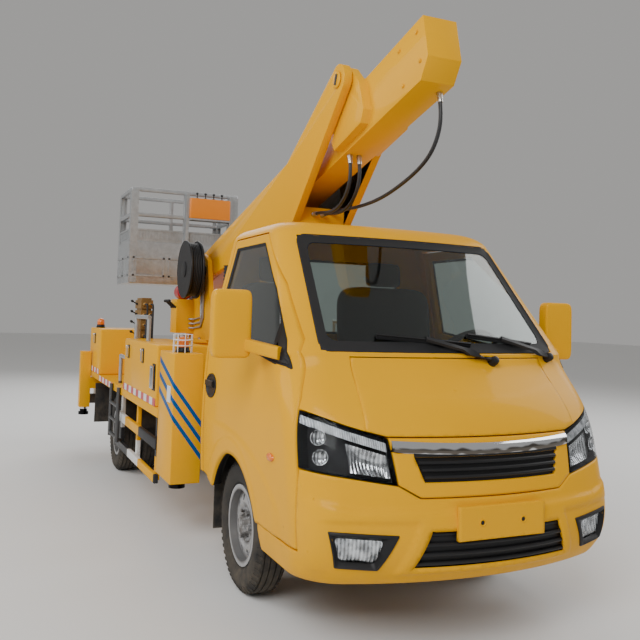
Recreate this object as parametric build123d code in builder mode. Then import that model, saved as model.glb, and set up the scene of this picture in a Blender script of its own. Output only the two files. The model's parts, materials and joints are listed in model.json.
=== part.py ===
# Cherry picker truck: a small cab-over lorry with a folding boom and a bucket.
# Drawn in millimetres from the front axle, X forward, Y left, Z up from the
# ground; save() moves each piece to the frame's origin at mid length.
import os
from math import atan2, cos, hypot, radians, sin, sqrt, tan

from build123d import *

os.makedirs("parts", exist_ok=True)

# Overall sizes
OVERALL_LENGTH = 5995
FRONT_OVERHANG = 1200
WHEELBASE = 3300
FRONT_AXLE_X = OVERALL_LENGTH / 2 - FRONT_OVERHANG
REAR_END = FRONT_OVERHANG - OVERALL_LENGTH
SEAT_GAP = 0.3
SLIDE_GAP = 3

# Wheels and tyres
TYRE_RADIUS = 340
TYRE_WIDTH = 170
TYRE_SHOULDER = 28
RIM_RADIUS = 191
RIM_FLANGE = 207
RIM_WIDTH = 140
RIM_WALL = 9
HUB_RADIUS = 62
DISC_THICKNESS = 12
HAND_HOLE_RADIUS = 17
HAND_HOLE_COUNT = 10
HAND_HOLE_CIRCLE = 140
STUD_COUNT = 6
STUD_RADIUS = 6
SPINDLE_RADIUS = 25
SPINDLE_GAP = 0.05
FRONT_TRACK_HALF = 695
REAR_INNER_HALF = 600
REAR_TWIN_PITCH = 200

# Frame, axles and running gear
RAIL_INNER = 330
RAIL_WIDTH = 60
RAIL_BOTTOM = 510
RAIL_TOP = 650
RAIL_FRONT = 950
RAIL_REAR = -4480
CROSS_MEMBER_LENGTH = 80
CROSS_MEMBER_DEPTH = 90
KINGPIN_HALF = 600
KINGPIN_RADIUS = 20
KINGPIN_GAP = 0.05
YOKE_BOTTOM = 235
YOKE_TOP = 445
LUG_THICKNESS = 30
BOSS_RADIUS = 42
BEAM_HALF = 45
BEAM_BOTTOM = 270
BEAM_TOP = 340
SPRING_THICKNESS = 42
SPRING_HALF_LENGTH = 470
AXLE_TUBE_RADIUS = 52
DIFF_RADIUS = 145

# Cab
SHELL = 42
PANEL_GAP = 5
DOOR_GAP = 10
GLASS_INSET = 7
GLASS_THICKNESS = 6
CAB_REAR = -640
CAB_REAR_RADIUS = 60
ARCH_X = 30
ARCH_Z = 320
ARCH_RADIUS = 400
DOOR_HINGE_X = 892
DOOR_HINGE_Y = 812
BELT_Z = 1280
HEADER_Z = 1880
ROOF_Z = 1962
ROOF_SHELL = 34
FLOOR_Z = 700
FLOOR_THICKNESS = 40
SEAT_DECK_Z = 950
PLATE_Y = (-220, 220)
PLATE_Z = (533, 673)
PLATE_THICKNESS = 20
PLATE_HOLE_SPACING = 210
PLATE_HOLE_RADIUS = 4
RISER_X = 340

# Deck and boxes
DECK_FRONT = -1210
DECK_REAR = -4690
DECK_HALF = 960
DECK_BOTTOM = 760
DECK_TOP = 800
FRONT_BOX_TOP = 1215
REAR_BOX_TOP = 1250
SLEW_X = -2950
PEDESTAL_RADIUS = 330
PEDESTAL_TOP = 1130
RING_RADIUS = 400
RING_TOP = 1180

# Outriggers
TUBE_WALL = 10
BEAM_SIZE = 114
BEAM_INNER_END = 30
PAD_RADIUS = 52
LEG_GAP = 0.5
PAD_BOTTOM = 340
PAD_THICKNESS = 30

# Turret and booms
TABLE_RADIUS = 430
TABLE_THICKNESS = 30
TURRET_INNER = 222
TURRET_PLATE = 40
BASE_PIN_X = -2900
BASE_PIN_Z = 1860
BASE_PIN_RADIUS = 45
BASE_EYE_RADIUS = 125
FORK_INNER = 162
FORK_PLATE = 50
TIP_PIN_X = -140
TIP_PIN_Z = 2830
TIP_PIN_RADIUS = 35
TIP_EYE_RADIUS = 92
PIN_GAP = 0.05
BOOM_INCLINE = 14.0
BOOM_WIDTH = 200
BOOM_HEIGHT = 320
BOOM_WALL = 8
BOOM_DROP = 205
BUTT_LENGTH = 771
BUTT_CHAMFER = 90
OUTER_LENGTH = 3420
FLY_GAP = 4
FLY_FRONT = -640
FLY_REAR = 3690
LEVEL_PIN_S = 3760
LEVEL_PIN_RADIUS = 25
GUSSET_THICKNESS = 54
HOSE_RADIUS = 11

# Lift cylinder
LIFT_BASE_X = -2650
LIFT_BASE_Z = 1350
LIFT_EYE_X = -1850
LIFT_EYE_Z = 1795
BARREL_RADIUS = 58
ROD_RADIUS = 34
ROD_GAP = 0.3

# Bucket
BUCKET_FRONT = -4080
BUCKET_DEPTH = 700
BUCKET_WIDTH = 1140
BUCKET_OFFSET = -120
BUCKET_FLOOR = 1725
BUCKET_TOP = 2720
BUCKET_TUBE = 40
PANEL_TOP = 2160
PANEL_THICKNESS = 10
SWING_X = -3985
SWING_RADIUS = 40


def save(part, name):
    placed = part.moved(Location((FRONT_AXLE_X, 0, 0)))
    placed.label = name
    export_step(placed, "parts/" + name + ".step")


def side_prism(points, y_low, y_high):
    with BuildPart() as made:
        with BuildSketch(Plane.XZ.offset(-y_high)):
            with BuildLine():
                Polyline(*points, close=True)
            make_face()
        extrude(amount=y_high - y_low)
    return made.part


def front_prism(points, x_low, x_high):
    with BuildPart() as made:
        with BuildSketch(Plane.YZ.offset(x_low)):
            with BuildLine():
                Polyline(*points, close=True)
            make_face()
        extrude(amount=x_high - x_low)
    return made.part


def block(x_low, x_high, y_low, y_high, z_low, z_high):
    with BuildPart() as made:
        with Locations(((x_low + x_high) / 2, (y_low + y_high) / 2, (z_low + z_high) / 2)):
            Box(x_high - x_low, y_high - y_low, z_high - z_low)
    return made.part


def bar_y(x, z, radius, y_low, y_high):
    with BuildPart() as made:
        with BuildSketch(Plane.XZ.offset(-y_high)):
            with Locations((x, z)):
                Circle(radius)
        extrude(amount=y_high - y_low)
    return made.part


def bar_z(x, y, radius, z_low, z_high):
    with BuildPart() as made:
        with BuildSketch(Plane.XY.offset(z_low)):
            with Locations((x, y)):
                Circle(radius)
        extrude(amount=z_high - z_low)
    return made.part


def bar_between(start, end, radius):
    with BuildPart() as made:
        with BuildLine() as path:
            Line(start, end)
        with BuildSketch(Plane(origin=start, z_dir=path.line % 0)):
            Circle(radius)
        sweep()
    return made.part


def grown(points, amount):
    with BuildSketch() as made:
        with BuildLine():
            Polyline(*points, close=True)
        make_face()
        offset(amount=amount, kind=Kind.INTERSECTION)
    corners = made.sketch.face().outer_wire().order_edges()
    return [(edge.position_at(0).X, edge.position_at(0).Y) for edge in corners]


# Cab outer form: plan sections by height, from the sill to the roof
LOWER_SECTIONS = (
    # z, front x, half width, bulge radius, corner radius
    (340, 1090, 800, 1900, 240),
    (420, 1158, 817, 1800, 250),
    (560, 1188, 828, 1700, 255),
    (720, 1165, 833, 1650, 260),
    (930, 1110, 832, 1600, 260),
    (1100, 990, 824, 1750, 255),
    (BELT_Z, 825, 806, 2400, 220),
)
HOUSE_SECTIONS = (
    (BELT_Z, 825, 806, 2400, 220),
    (HEADER_Z, 262, 668, 3300, 150),
)
ROOF_SECTIONS = (
    (HEADER_Z, 262, 668, 3300, 150),
    (1925, 190, 636, 3300, 150),
    (1952, 85, 575, 3300, 150),
    (ROOF_Z, -60, 470, 3300, 150),
)


def plan_section(z, front, half, bulge, corner, rear, inset):
    front = front - inset
    half = half - inset
    bulge = bulge - inset
    corner = corner - inset
    rear = rear + inset
    back = CAB_REAR_RADIUS - inset if inset < CAB_REAR_RADIUS - 12 else 12
    centre = front - bulge
    corner_x = centre + sqrt((bulge - corner) ** 2 - (half - corner) ** 2)
    reach = bulge / (bulge - corner)
    join_x = centre + reach * (corner_x - centre)
    join_y = reach * (half - corner)
    mid_angle = (atan2(half - corner, corner_x - centre) + radians(90)) / 2
    mid_x = corner_x + corner * cos(mid_angle)
    mid_y = half - corner + corner * sin(mid_angle)
    turn = back * (1 - sqrt(0.5))
    with BuildSketch(Plane.XY.offset(z)) as made:
        with BuildLine():
            ThreePointArc((join_x, -join_y), (front, 0), (join_x, join_y))
            ThreePointArc((join_x, join_y), (mid_x, mid_y), (corner_x, half))
            Line((corner_x, half), (rear + back, half))
            ThreePointArc((rear + back, half), (rear + turn, half - turn), (rear, half - back))
            Line((rear, half - back), (rear, back - half))
            ThreePointArc((rear, back - half), (rear + turn, turn - half), (rear + back, -half))
            Line((rear + back, -half), (corner_x, -half))
            ThreePointArc((corner_x, -half), (mid_x, -mid_y), (join_x, -join_y))
        make_face()
    return made.sketch


def cab_form(inset, roof_drop, open_bottom):
    with BuildPart() as made:
        for number, row in enumerate(LOWER_SECTIONS):
            z = row[0] - 60 if open_bottom and number == 0 else row[0]
            add(plan_section(z, *row[1:], CAB_REAR, inset))
        loft()
        for row in HOUSE_SECTIONS:
            add(plan_section(*row, CAB_REAR, inset))
        loft()
        for number, row in enumerate(ROOF_SECTIONS):
            share = number / (len(ROOF_SECTIONS) - 1)
            rear = CAB_REAR + (0, 4, 22, 70)[number]
            add(plan_section(row[0] - roof_drop * share, *row[1:], rear, inset))
        loft()
    return made.part


OUTER = cab_form(0, 0, False)
INNER = cab_form(SHELL, ROOF_SHELL, True)
SEAT_FORM = cab_form(SHELL + SEAT_GAP, ROOF_SHELL + SEAT_GAP, True)

# Outlines in side view (x, z)
DOOR_OUTLINE = (
    (883, 470),
    (870, 760),
    (784, 1080),
    (645, 1333),
    (382, 1596),
    (16, 1878),
    (-520, 1878),
    (-546, 1300),
    (-532, 520),
    (-440, 520),
    (-300, 470),
)
LATCH_Z = 1040
DOOR_REAR_SLOPE = (DOOR_OUTLINE[8][0] - DOOR_OUTLINE[7][0]) / (DOOR_OUTLINE[8][1] - DOOR_OUTLINE[7][1])
LATCH_FACE = DOOR_OUTLINE[7][0] + (LATCH_Z + 20 - DOOR_OUTLINE[7][1]) * DOOR_REAR_SLOPE - SEAT_GAP
WINDOW_OUTLINE = (
    (672, 1208),
    (586, 1330),
    (340, 1574),
    (8, 1826),
    (-466, 1826),
    (-490, 1352),
)
BUMPER_SIDE = (
    (405, 300),
    (1400, 300),
    (1400, 900),
    (876, 900),
    (876, 760),
    (890, 460),
    (418, 460),
)
FIREWALL_X = 740
CAB_FLOOR_HALF = 760
FLOOR_OUTLINE = (
    (1300, FLOOR_Z),
    (RISER_X + FLOOR_THICKNESS, FLOOR_Z),
    (RISER_X + FLOOR_THICKNESS, SEAT_DECK_Z),
    (CAB_REAR - 10, SEAT_DECK_Z),
    (CAB_REAR - 10, SEAT_DECK_Z - FLOOR_THICKNESS),
    (RISER_X, SEAT_DECK_Z - FLOOR_THICKNESS),
    (RISER_X, FLOOR_Z - FLOOR_THICKNESS),
    (1300, FLOOR_Z - FLOOR_THICKNESS),
)

# Outlines in front view (y, z)
SCREEN_OUTLINE = ((-655, 1292), (655, 1292), (588, 1862), (-588, 1862))
PANEL_OUTLINE = ((-528, 1262), (528, 1262), (556, 968), (476, 947), (-476, 947), (-556, 968))
GRILLE_OUTLINE = ((-470, 940), (470, 940), (448, 755), (360, 706), (-360, 706), (-448, 755))
LAMP_OUTLINE = ((476, 937), (456, 757), (660, 786), (900, 818), (900, 1080), (787, 1038), (634, 983))
BUMPER_OUTLINE = (
    (-950, 300),
    (950, 300),
    (950, 818),
    (660, 780),
    (450, 750),
    (362, 700),
    (-362, 700),
    (-450, 750),
    (-660, 780),
    (-950, 818),
)
LOWER_GRILLE_OUTLINE = ((-330, 583), (330, 583), (403, 416), (-403, 416))
UPPER_GRILLE_OUTLINE = ((-376, 866), (376, 866), (340, 764), (-340, 764))
FOG_OUTLINE = ((470, 552), (722, 564), (694, 432), (536, 422))
REAR_WINDOW_OUTLINE = ((-520, 1330), (520, 1330), (480, 1800), (-480, 1800))


def mirrored(points):
    return [(-y, z) for y, z in points]


LAMP_LINE = ((882, 740), (1400, 740), (1400, 1100), (790, 1100), (866, 820))

with BuildPart() as skin:
    add(OUTER)
    add(INNER, mode=Mode.SUBTRACT)

with BuildPart() as wheel_space:
    add(bar_y(ARCH_X, ARCH_Z, ARCH_RADIUS, -1000, 1000))

# Doors, cut from the cab's skin
for side, name in ((-1, "door_right"), (1, "door_left")):
    y_range = sorted((side * 420, side * 1000))
    with BuildPart() as door:
        add(skin.part)
        add(side_prism(DOOR_OUTLINE, *y_range), mode=Mode.INTERSECT)
        add(wheel_space.part, mode=Mode.SUBTRACT)
        add(side_prism(WINDOW_OUTLINE, *y_range), mode=Mode.SUBTRACT)
    save(door.part, name)

# Pane rings used for all the glass
GLASS_OUTER = cab_form(GLASS_INSET, GLASS_INSET, False)
GLASS_INNER = cab_form(GLASS_INSET + GLASS_THICKNESS, GLASS_INSET + GLASS_THICKNESS, True)
with BuildPart() as pane:
    add(GLASS_OUTER)
    add(GLASS_INNER, mode=Mode.SUBTRACT)

for side, name in ((-1, "door_glass_right"), (1, "door_glass_left")):
    y_range = sorted((side * 420, side * 1000))
    with BuildPart() as glass:
        add(pane.part)
        add(side_prism(grown(WINDOW_OUTLINE, -SEAT_GAP), *y_range), mode=Mode.INTERSECT)
    save(glass.part, name)



def shared(form, *cutters):
    with BuildPart() as kept:
        add(form)
        for cutter in cutters:
            add(cutter, mode=Mode.INTERSECT)
    return kept.part


screen_pane = shared(pane.part, front_prism(grown(SCREEN_OUTLINE, -SEAT_GAP), 0, 1200))
rear_pane = shared(pane.part, front_prism(grown(REAR_WINDOW_OUTLINE, -SEAT_GAP), -800, -400))
with BuildPart() as cab_glass:
    add(screen_pane)
    add(rear_pane)
save(cab_glass.part, "cab_glass")

# Front panels
with BuildPart() as front_panel:
    add(skin.part)
    add(front_prism(PANEL_OUTLINE, 500, 1400), mode=Mode.INTERSECT)

with BuildPart() as grille_frame:
    add(skin.part)
    add(front_prism(GRILLE_OUTLINE, 500, 1400), mode=Mode.INTERSECT)
    add(front_prism(UPPER_GRILLE_OUTLINE, 500, 1400), mode=Mode.SUBTRACT)
with BuildPart() as front_panels:
    add(front_panel.part)
    add(grille_frame.part)
save(front_panels.part, "front_panels")

with BuildPart() as bumper:
    add(skin.part)
    add(front_prism(BUMPER_OUTLINE, 300, 1400), mode=Mode.INTERSECT)
    add(side_prism(BUMPER_SIDE, -1000, 1000), mode=Mode.INTERSECT)
    add(wheel_space.part, mode=Mode.SUBTRACT)
    add(front_prism(LOWER_GRILLE_OUTLINE, 500, 1400), mode=Mode.SUBTRACT)
    add(front_prism(FOG_OUTLINE, 500, 1400), mode=Mode.SUBTRACT)
    add(front_prism(mirrored(FOG_OUTLINE), 500, 1400), mode=Mode.SUBTRACT)
    add(block(FRONT_OVERHANG - PLATE_THICKNESS, FRONT_OVERHANG, *PLATE_Y, *PLATE_Z))
    add(block(FRONT_OVERHANG - 50, FRONT_OVERHANG - 5, -180, 180, 597, 660))
    with BuildSketch(Plane.YZ.offset(FRONT_OVERHANG + 5)):
        with Locations((0, sum(PLATE_Z) / 2)):
            with GridLocations(PLATE_HOLE_SPACING, 0, 2, 1):
                Circle(PLATE_HOLE_RADIUS)
    extrude(amount=-80, mode=Mode.SUBTRACT)
save(bumper.part, "bumper")

with BuildPart() as grille_ring:
    add(cab_form(12, 12, False))
    add(cab_form(SHELL - 8, ROOF_SHELL, True), mode=Mode.SUBTRACT)

inserts = []
for outline in (UPPER_GRILLE_OUTLINE, LOWER_GRILLE_OUTLINE):
    inserts.append(shared(grille_ring.part, front_prism(grown(outline, -SEAT_GAP), 500, 1400)))
with BuildPart() as grilles:
    for insert in inserts:
        add(insert)
save(grilles.part, "grilles")

lamps = []
lamp_space = side_prism(LAMP_LINE, -1000, 1000)
for outline in (LAMP_OUTLINE, mirrored(LAMP_OUTLINE)):
    lamps.append(shared(skin.part, front_prism(outline, 500, 1400), lamp_space))
for outline in (FOG_OUTLINE, mirrored(FOG_OUTLINE)):
    lamps.append(shared(grille_ring.part, front_prism(grown(outline, -SEAT_GAP), 500, 1400)))
with BuildPart() as front_lamps:
    for lamp in lamps:
        add(lamp)
save(front_lamps.part, "front_lamps")

# Cab body: roof, pillars, rear wall, firewall and floor
with BuildPart() as floor_pan:
    add(side_prism(FLOOR_OUTLINE, -CAB_FLOOR_HALF, CAB_FLOOR_HALF))
    add(block(FIREWALL_X, FIREWALL_X + 30, -600, 600, FLOOR_Z - 10, BELT_Z - 50))
    add(block(FIREWALL_X, 1300, -680, 680, 872, 886))
    add(block(FIREWALL_X, 1300, -440, 440, 1010, 1024))
    add(SEAT_FORM, mode=Mode.INTERSECT)
    add(block(CAB_REAR + 15, CAB_REAR + 80, -700, 700, SEAT_DECK_Z - FLOOR_THICKNESS, SEAT_DECK_Z))

with BuildPart() as pressing:
    add(skin.part)
    for side in (-1, 1):
        y_range = sorted((side * 420, side * 1000))
        add(side_prism(grown(DOOR_OUTLINE, DOOR_GAP), *y_range), mode=Mode.SUBTRACT)
    for outline in (PANEL_OUTLINE, GRILLE_OUTLINE):
        add(front_prism(grown(outline, PANEL_GAP), 500, 1400), mode=Mode.SUBTRACT)
    for outline in (LAMP_OUTLINE, mirrored(LAMP_OUTLINE)):
        add(front_prism(grown(outline, PANEL_GAP), 500, 1400), mode=Mode.SUBTRACT)
    add(front_prism(grown(BUMPER_OUTLINE, PANEL_GAP), 300, 1400), mode=Mode.SUBTRACT)
    add(front_prism(SCREEN_OUTLINE, 0, 1200), mode=Mode.SUBTRACT)
    add(front_prism(REAR_WINDOW_OUTLINE, -800, -400), mode=Mode.SUBTRACT)
    add(wheel_space.part, mode=Mode.SUBTRACT)
    add(block(-800, -400, -600, 600, 200, 700), mode=Mode.SUBTRACT)
    add(block(-800, 420, -1000, 1000, 200, 518), mode=Mode.SUBTRACT)
    for side in (-1, 1):
        y_latch = sorted((side * 790, side * 820))
        add(block(LATCH_FACE - 34, LATCH_FACE, *y_latch, LATCH_Z - 20, LATCH_Z + 20))
    add(floor_pan.part)

with BuildPart() as cab_body:
    add(max(pressing.part.solids(), key=lambda solid: solid.volume))
save(cab_body.part, "cab_body")

# Seats, dashboard and steering wheel with its column
with BuildPart() as seats:
    for y, half in ((-400, 250), (330, 330)):
        add(block(-500, 40, y - half, y + half, SEAT_DECK_Z, SEAT_DECK_Z + 130))
        add(side_prism(((-520, 1075), (-400, 1075), (-470, 1640), (-560, 1640)), y - half, y + half))
        add(side_prism(((-555, 1640), (-480, 1640), (-500, 1800), (-560, 1800)), y - 120, y + 120))
save(seats.part, "seats")

with BuildPart() as dashboard:
    add(side_prism(((520, 1240), (740, 1225), (740, 950), (640, 930), (470, 1130)), -640, 640))
    add(SEAT_FORM, mode=Mode.INTERSECT)

COLUMN_TOP = (330, 400, 1240)
COLUMN_FOOT = (590, 400, 1000)
with BuildPart() as steering_wheel:
    add(bar_between(COLUMN_TOP, COLUMN_FOOT, 22))
    with BuildSketch(Plane(origin=COLUMN_TOP, x_dir=(0, 1, 0), z_dir=(-260, 0, 240))) as rim:
        Circle(190)
        Circle(165, mode=Mode.SUBTRACT)
        Rectangle(345, 34)
        Circle(60)
    extrude(amount=24)
    add(dashboard.part, mode=Mode.SUBTRACT)
with BuildPart() as cab_controls:
    add(dashboard.part)
    add(max(steering_wheel.part.solids(), key=lambda solid: solid.volume))
save(cab_controls.part, "cab_controls")

# Ladder frame
with BuildPart() as chassis_frame:
    for side in (-1, 1):
        y_range = sorted((side * RAIL_INNER, side * (RAIL_INNER + RAIL_WIDTH)))
        add(block(RAIL_REAR, RAIL_FRONT, *y_range, RAIL_BOTTOM, RAIL_TOP))
        for axle, seat in ((0, BEAM_TOP), (-WHEELBASE, TYRE_RADIUS + AXLE_TUBE_RADIUS)):
            for end in (-1, 1):
                x = axle + end * (SPRING_HALF_LENGTH - 30)
                add(block(x - 40, x + 40, *y_range, seat + 110, RAIL_BOTTOM + 5))
    for x in (900, -1180, -2000, -2640, -3700, -4440):
        half = CROSS_MEMBER_LENGTH / 2
        add(block(x - half, x + half, -RAIL_INNER, RAIL_INNER, RAIL_TOP - CROSS_MEMBER_DEPTH, RAIL_TOP))
    for side in (-1, 1):
        y_range = sorted((side * RAIL_INNER, side * (RAIL_INNER + RAIL_WIDTH)))
        add(block(900, 960, *y_range, RAIL_TOP - 200, RAIL_BOTTOM + 10))
        add(block(-590, -510, *y_range, RAIL_TOP - 5, SEAT_DECK_Z - FLOOR_THICKNESS - SEAT_GAP))
        add(block(450, 530, *y_range, RAIL_TOP - 5, FLOOR_Z - FLOOR_THICKNESS - SEAT_GAP))
save(chassis_frame.part, "chassis_frame")

# Engine and gearbox as plain blocks, and the propeller shaft
with BuildPart() as engine:
    add(block(-450, 310, -290, 290, 400, 850))
    add(block(-1000, -450, -150, 150, 420, 620))
    for side in (-1, 1):
        y_range = sorted((side * 285, side * (RAIL_INNER - SEAT_GAP)))
        add(block(-150, -50, *y_range, 540, 600))

SHAFT_FRONT = (-990, 0, 500)
SHAFT_REAR = (-WHEELBASE + DIFF_RADIUS + 61, 0, TYRE_RADIUS + 11)
with BuildPart() as driveline:
    add(engine.part)
    add(bar_between(SHAFT_FRONT, SHAFT_REAR, 38))
save(driveline.part, "driveline")

# Front axle: beam, yokes and kingpins
with BuildPart() as front_axle:
    add(block(-BEAM_HALF, BEAM_HALF, -KINGPIN_HALF, KINGPIN_HALF, BEAM_BOTTOM, BEAM_TOP))
    for side in (-1, 1):
        y_range = sorted((side * (KINGPIN_HALF - 90), side * KINGPIN_HALF))
        gap_range = sorted((side * (KINGPIN_HALF - BOSS_RADIUS - 6), side * (KINGPIN_HALF + 50)))
        add(block(-BEAM_HALF, BEAM_HALF, *y_range, YOKE_BOTTOM, YOKE_TOP))
        add(bar_z(0, side * KINGPIN_HALF, BEAM_HALF, YOKE_BOTTOM, YOKE_TOP))
        add(
            block(-50, 50, *gap_range, YOKE_BOTTOM + LUG_THICKNESS, YOKE_TOP - LUG_THICKNESS),
            mode=Mode.SUBTRACT,
        )
        add(bar_z(0, side * KINGPIN_HALF, KINGPIN_RADIUS, YOKE_BOTTOM - 15, YOKE_TOP + 15))
save(front_axle.part, "front_axle")

# Steering knuckles: boss on the kingpin, brake plate and spindle
SPINDLE_END = FRONT_TRACK_HALF + 66
for side, name in ((-1, "knuckle_right"), (1, "knuckle_left")):
    y_spindle = sorted((side * (KINGPIN_HALF + 10), side * SPINDLE_END))
    y_plate = sorted((side * (KINGPIN_HALF + 52), side * (KINGPIN_HALF + 64)))
    with BuildPart() as knuckle:
        add(
            bar_z(
                0,
                side * KINGPIN_HALF,
                BOSS_RADIUS,
                YOKE_BOTTOM + LUG_THICKNESS + 1,
                YOKE_TOP - LUG_THICKNESS - 1,
            )
        )
        add(bar_y(0, TYRE_RADIUS, SPINDLE_RADIUS, *y_spindle))
        add(bar_y(0, TYRE_RADIUS, 128, *y_plate))
        add(
            bar_z(0, side * KINGPIN_HALF, KINGPIN_RADIUS + KINGPIN_GAP, YOKE_BOTTOM, YOKE_TOP),
            mode=Mode.SUBTRACT,
        )
    save(knuckle.part, name)

# Leaf springs under the frame rails
with BuildPart() as leaf_springs:
    for axle, seat in ((0, BEAM_TOP), (-WHEELBASE, TYRE_RADIUS + AXLE_TUBE_RADIUS)):
        for side in (-1, 1):
            y_high = max(side * RAIL_INNER, side * (RAIL_INNER + RAIL_WIDTH))
            low = seat + 10
            with BuildSketch(Plane.XZ.offset(-y_high)):
                with BuildLine():
                    ThreePointArc(
                        (axle - SPRING_HALF_LENGTH, low + 65),
                        (axle, low),
                        (axle + SPRING_HALF_LENGTH, low + 65),
                    )
                    Line(
                        (axle + SPRING_HALF_LENGTH, low + 65),
                        (axle + SPRING_HALF_LENGTH, low + 65 + SPRING_THICKNESS),
                    )
                    ThreePointArc(
                        (axle + SPRING_HALF_LENGTH, low + 65 + SPRING_THICKNESS),
                        (axle, low + SPRING_THICKNESS),
                        (axle - SPRING_HALF_LENGTH, low + 65 + SPRING_THICKNESS),
                    )
                    Line(
                        (axle - SPRING_HALF_LENGTH, low + 65 + SPRING_THICKNESS),
                        (axle - SPRING_HALF_LENGTH, low + 65),
                    )
                make_face()
            extrude(amount=RAIL_WIDTH)
            add(block(axle - 60, axle + 60, y_high - RAIL_WIDTH, y_high, seat, low + 12))
    add(chassis_frame.part, mode=Mode.SUBTRACT)
save(leaf_springs.part, "leaf_springs")

# Rear axle: tube with pads, differential bowl and drums
REAR_HUB_FACE = REAR_INNER_HALF + REAR_TWIN_PITCH / 2
with BuildPart() as rear_axle:
    add(bar_y(-WHEELBASE, TYRE_RADIUS, AXLE_TUBE_RADIUS, -REAR_INNER_HALF, REAR_INNER_HALF))
    with Locations((-WHEELBASE, 0, TYRE_RADIUS)):
        Sphere(DIFF_RADIUS)
    add(bar_between((-WHEELBASE + 60, 0, TYRE_RADIUS), (-WHEELBASE + DIFF_RADIUS + 60, 0, TYRE_RADIUS + 10), 55))
    for side in (-1, 1):
        y_pad = sorted((side * RAIL_INNER, side * (RAIL_INNER + RAIL_WIDTH)))
        y_drum = sorted((side * (REAR_INNER_HALF - 45), side * (REAR_INNER_HALF + 45)))
        y_end = sorted((side * REAR_INNER_HALF, side * (REAR_HUB_FACE + 60)))
        add(
            block(
                -WHEELBASE - 60,
                -WHEELBASE + 60,
                *y_pad,
                TYRE_RADIUS,
                TYRE_RADIUS + AXLE_TUBE_RADIUS,
            )
        )
        add(bar_y(-WHEELBASE, TYRE_RADIUS, 150, *y_drum))
        add(bar_y(-WHEELBASE, TYRE_RADIUS, SPINDLE_RADIUS, *y_end))
save(rear_axle.part, "rear_axle")


# Tyre and rim profiles are turned about the axle line
def tyre(x, y):
    half = TYRE_WIDTH / 2
    bead = RIM_WIDTH / 2 - 12
    with BuildPart() as made:
        with BuildSketch(Plane.XY) as outline:
            with BuildLine():
                Polyline(
                    (bead, RIM_RADIUS + SEAT_GAP),
                    (bead + 2, RIM_FLANGE + 1),
                    (half - 6, RIM_FLANGE + 24),
                    (half, (RIM_FLANGE + TYRE_RADIUS) / 2),
                    (half - 6, TYRE_RADIUS - TYRE_SHOULDER - 4),
                    (half - TYRE_SHOULDER, TYRE_RADIUS - 3),
                    (0, TYRE_RADIUS),
                )
                Line((0, TYRE_RADIUS), (0, RIM_RADIUS + SEAT_GAP))
                Line((0, RIM_RADIUS + SEAT_GAP), (bead, RIM_RADIUS + SEAT_GAP))
            make_face()
            mirror(about=Plane.YZ)
        revolve(axis=Axis.X)
    return made.part.rotate(Axis.Z, 90).moved(Location((x, y, TYRE_RADIUS)))


def rim(x, y, side, disc, nut_face, nut_circle):
    edge = RIM_WIDTH / 2
    with BuildPart() as made:
        with BuildSketch(Plane.XY):
            with BuildLine():
                Polyline(
                    (-edge, RIM_RADIUS - RIM_WALL),
                    (-edge, RIM_FLANGE),
                    (-edge + 7, RIM_FLANGE),
                    (-edge + 10, RIM_RADIUS),
                    (edge - 10, RIM_RADIUS),
                    (edge - 7, RIM_FLANGE),
                    (edge, RIM_FLANGE),
                    (edge, RIM_RADIUS - RIM_WALL),
                    close=True,
                )
            make_face()
        revolve(axis=Axis.X)
        with BuildSketch(Plane.XY):
            with BuildLine():
                Polyline(*disc, close=True)
            make_face()
        revolve(axis=Axis.X)
        with BuildSketch(Plane.YZ.offset(-edge - 40)):
            with PolarLocations(HAND_HOLE_CIRCLE, HAND_HOLE_COUNT):
                Circle(HAND_HOLE_RADIUS)
        extrude(amount=2 * edge + 80, mode=Mode.SUBTRACT)
        if nut_circle:
            with BuildSketch(Plane.YZ.offset(nut_face - 22)):
                with PolarLocations(nut_circle, STUD_COUNT):
                    RegularPolygon(STUD_RADIUS + 7, 6)
            extrude(amount=40)
    return made.part.rotate(Axis.Z, side * 90).moved(Location((x, y, TYRE_RADIUS)))


BORE = SPINDLE_RADIUS + SPINDLE_GAP
BARREL_INSIDE = RIM_RADIUS - RIM_WALL + 3
TWIN_FACE = -REAR_TWIN_PITCH / 2 + SEAT_GAP / 2
FRONT_DISC = (
    (12, BARREL_INSIDE),
    (30, BARREL_INSIDE),
    (46, HAND_HOLE_CIRCLE - 26),
    (34, HUB_RADIUS + 26),
    (36, HUB_RADIUS),
    (66, HUB_RADIUS - 14),
    (72, HUB_RADIUS - 24),
    (72, 0),
    (67, 0),
    (67, BORE),
    (-18, BORE),
    (-18, HUB_RADIUS),
    (20, HUB_RADIUS + 26),
    (46 - DISC_THICKNESS, HAND_HOLE_CIRCLE - 26),
)
TWIN_DISC = (
    (-64, BARREL_INSIDE),
    (-46, BARREL_INSIDE),
    (TWIN_FACE + 16, HAND_HOLE_CIRCLE - 26),
    (TWIN_FACE + DISC_THICKNESS, HUB_RADIUS + 36),
    (TWIN_FACE + DISC_THICKNESS, BORE),
    (TWIN_FACE, BORE),
    (TWIN_FACE, HAND_HOLE_CIRCLE - 26),
)
REAR_DISC = (
    (-64, BARREL_INSIDE),
    (-46, BARREL_INSIDE),
    (TWIN_FACE + 16, HAND_HOLE_CIRCLE - 26),
    (TWIN_FACE + DISC_THICKNESS, HUB_RADIUS + 36),
    (TWIN_FACE + DISC_THICKNESS, HUB_RADIUS),
    (0, HUB_RADIUS - 6),
    (6, HUB_RADIUS - 14),
    (6, 0),
    (-34, 0),
    (-34, BORE),
    (TWIN_FACE, BORE),
    (TWIN_FACE, HAND_HOLE_CIRCLE - 26),
)
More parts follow.
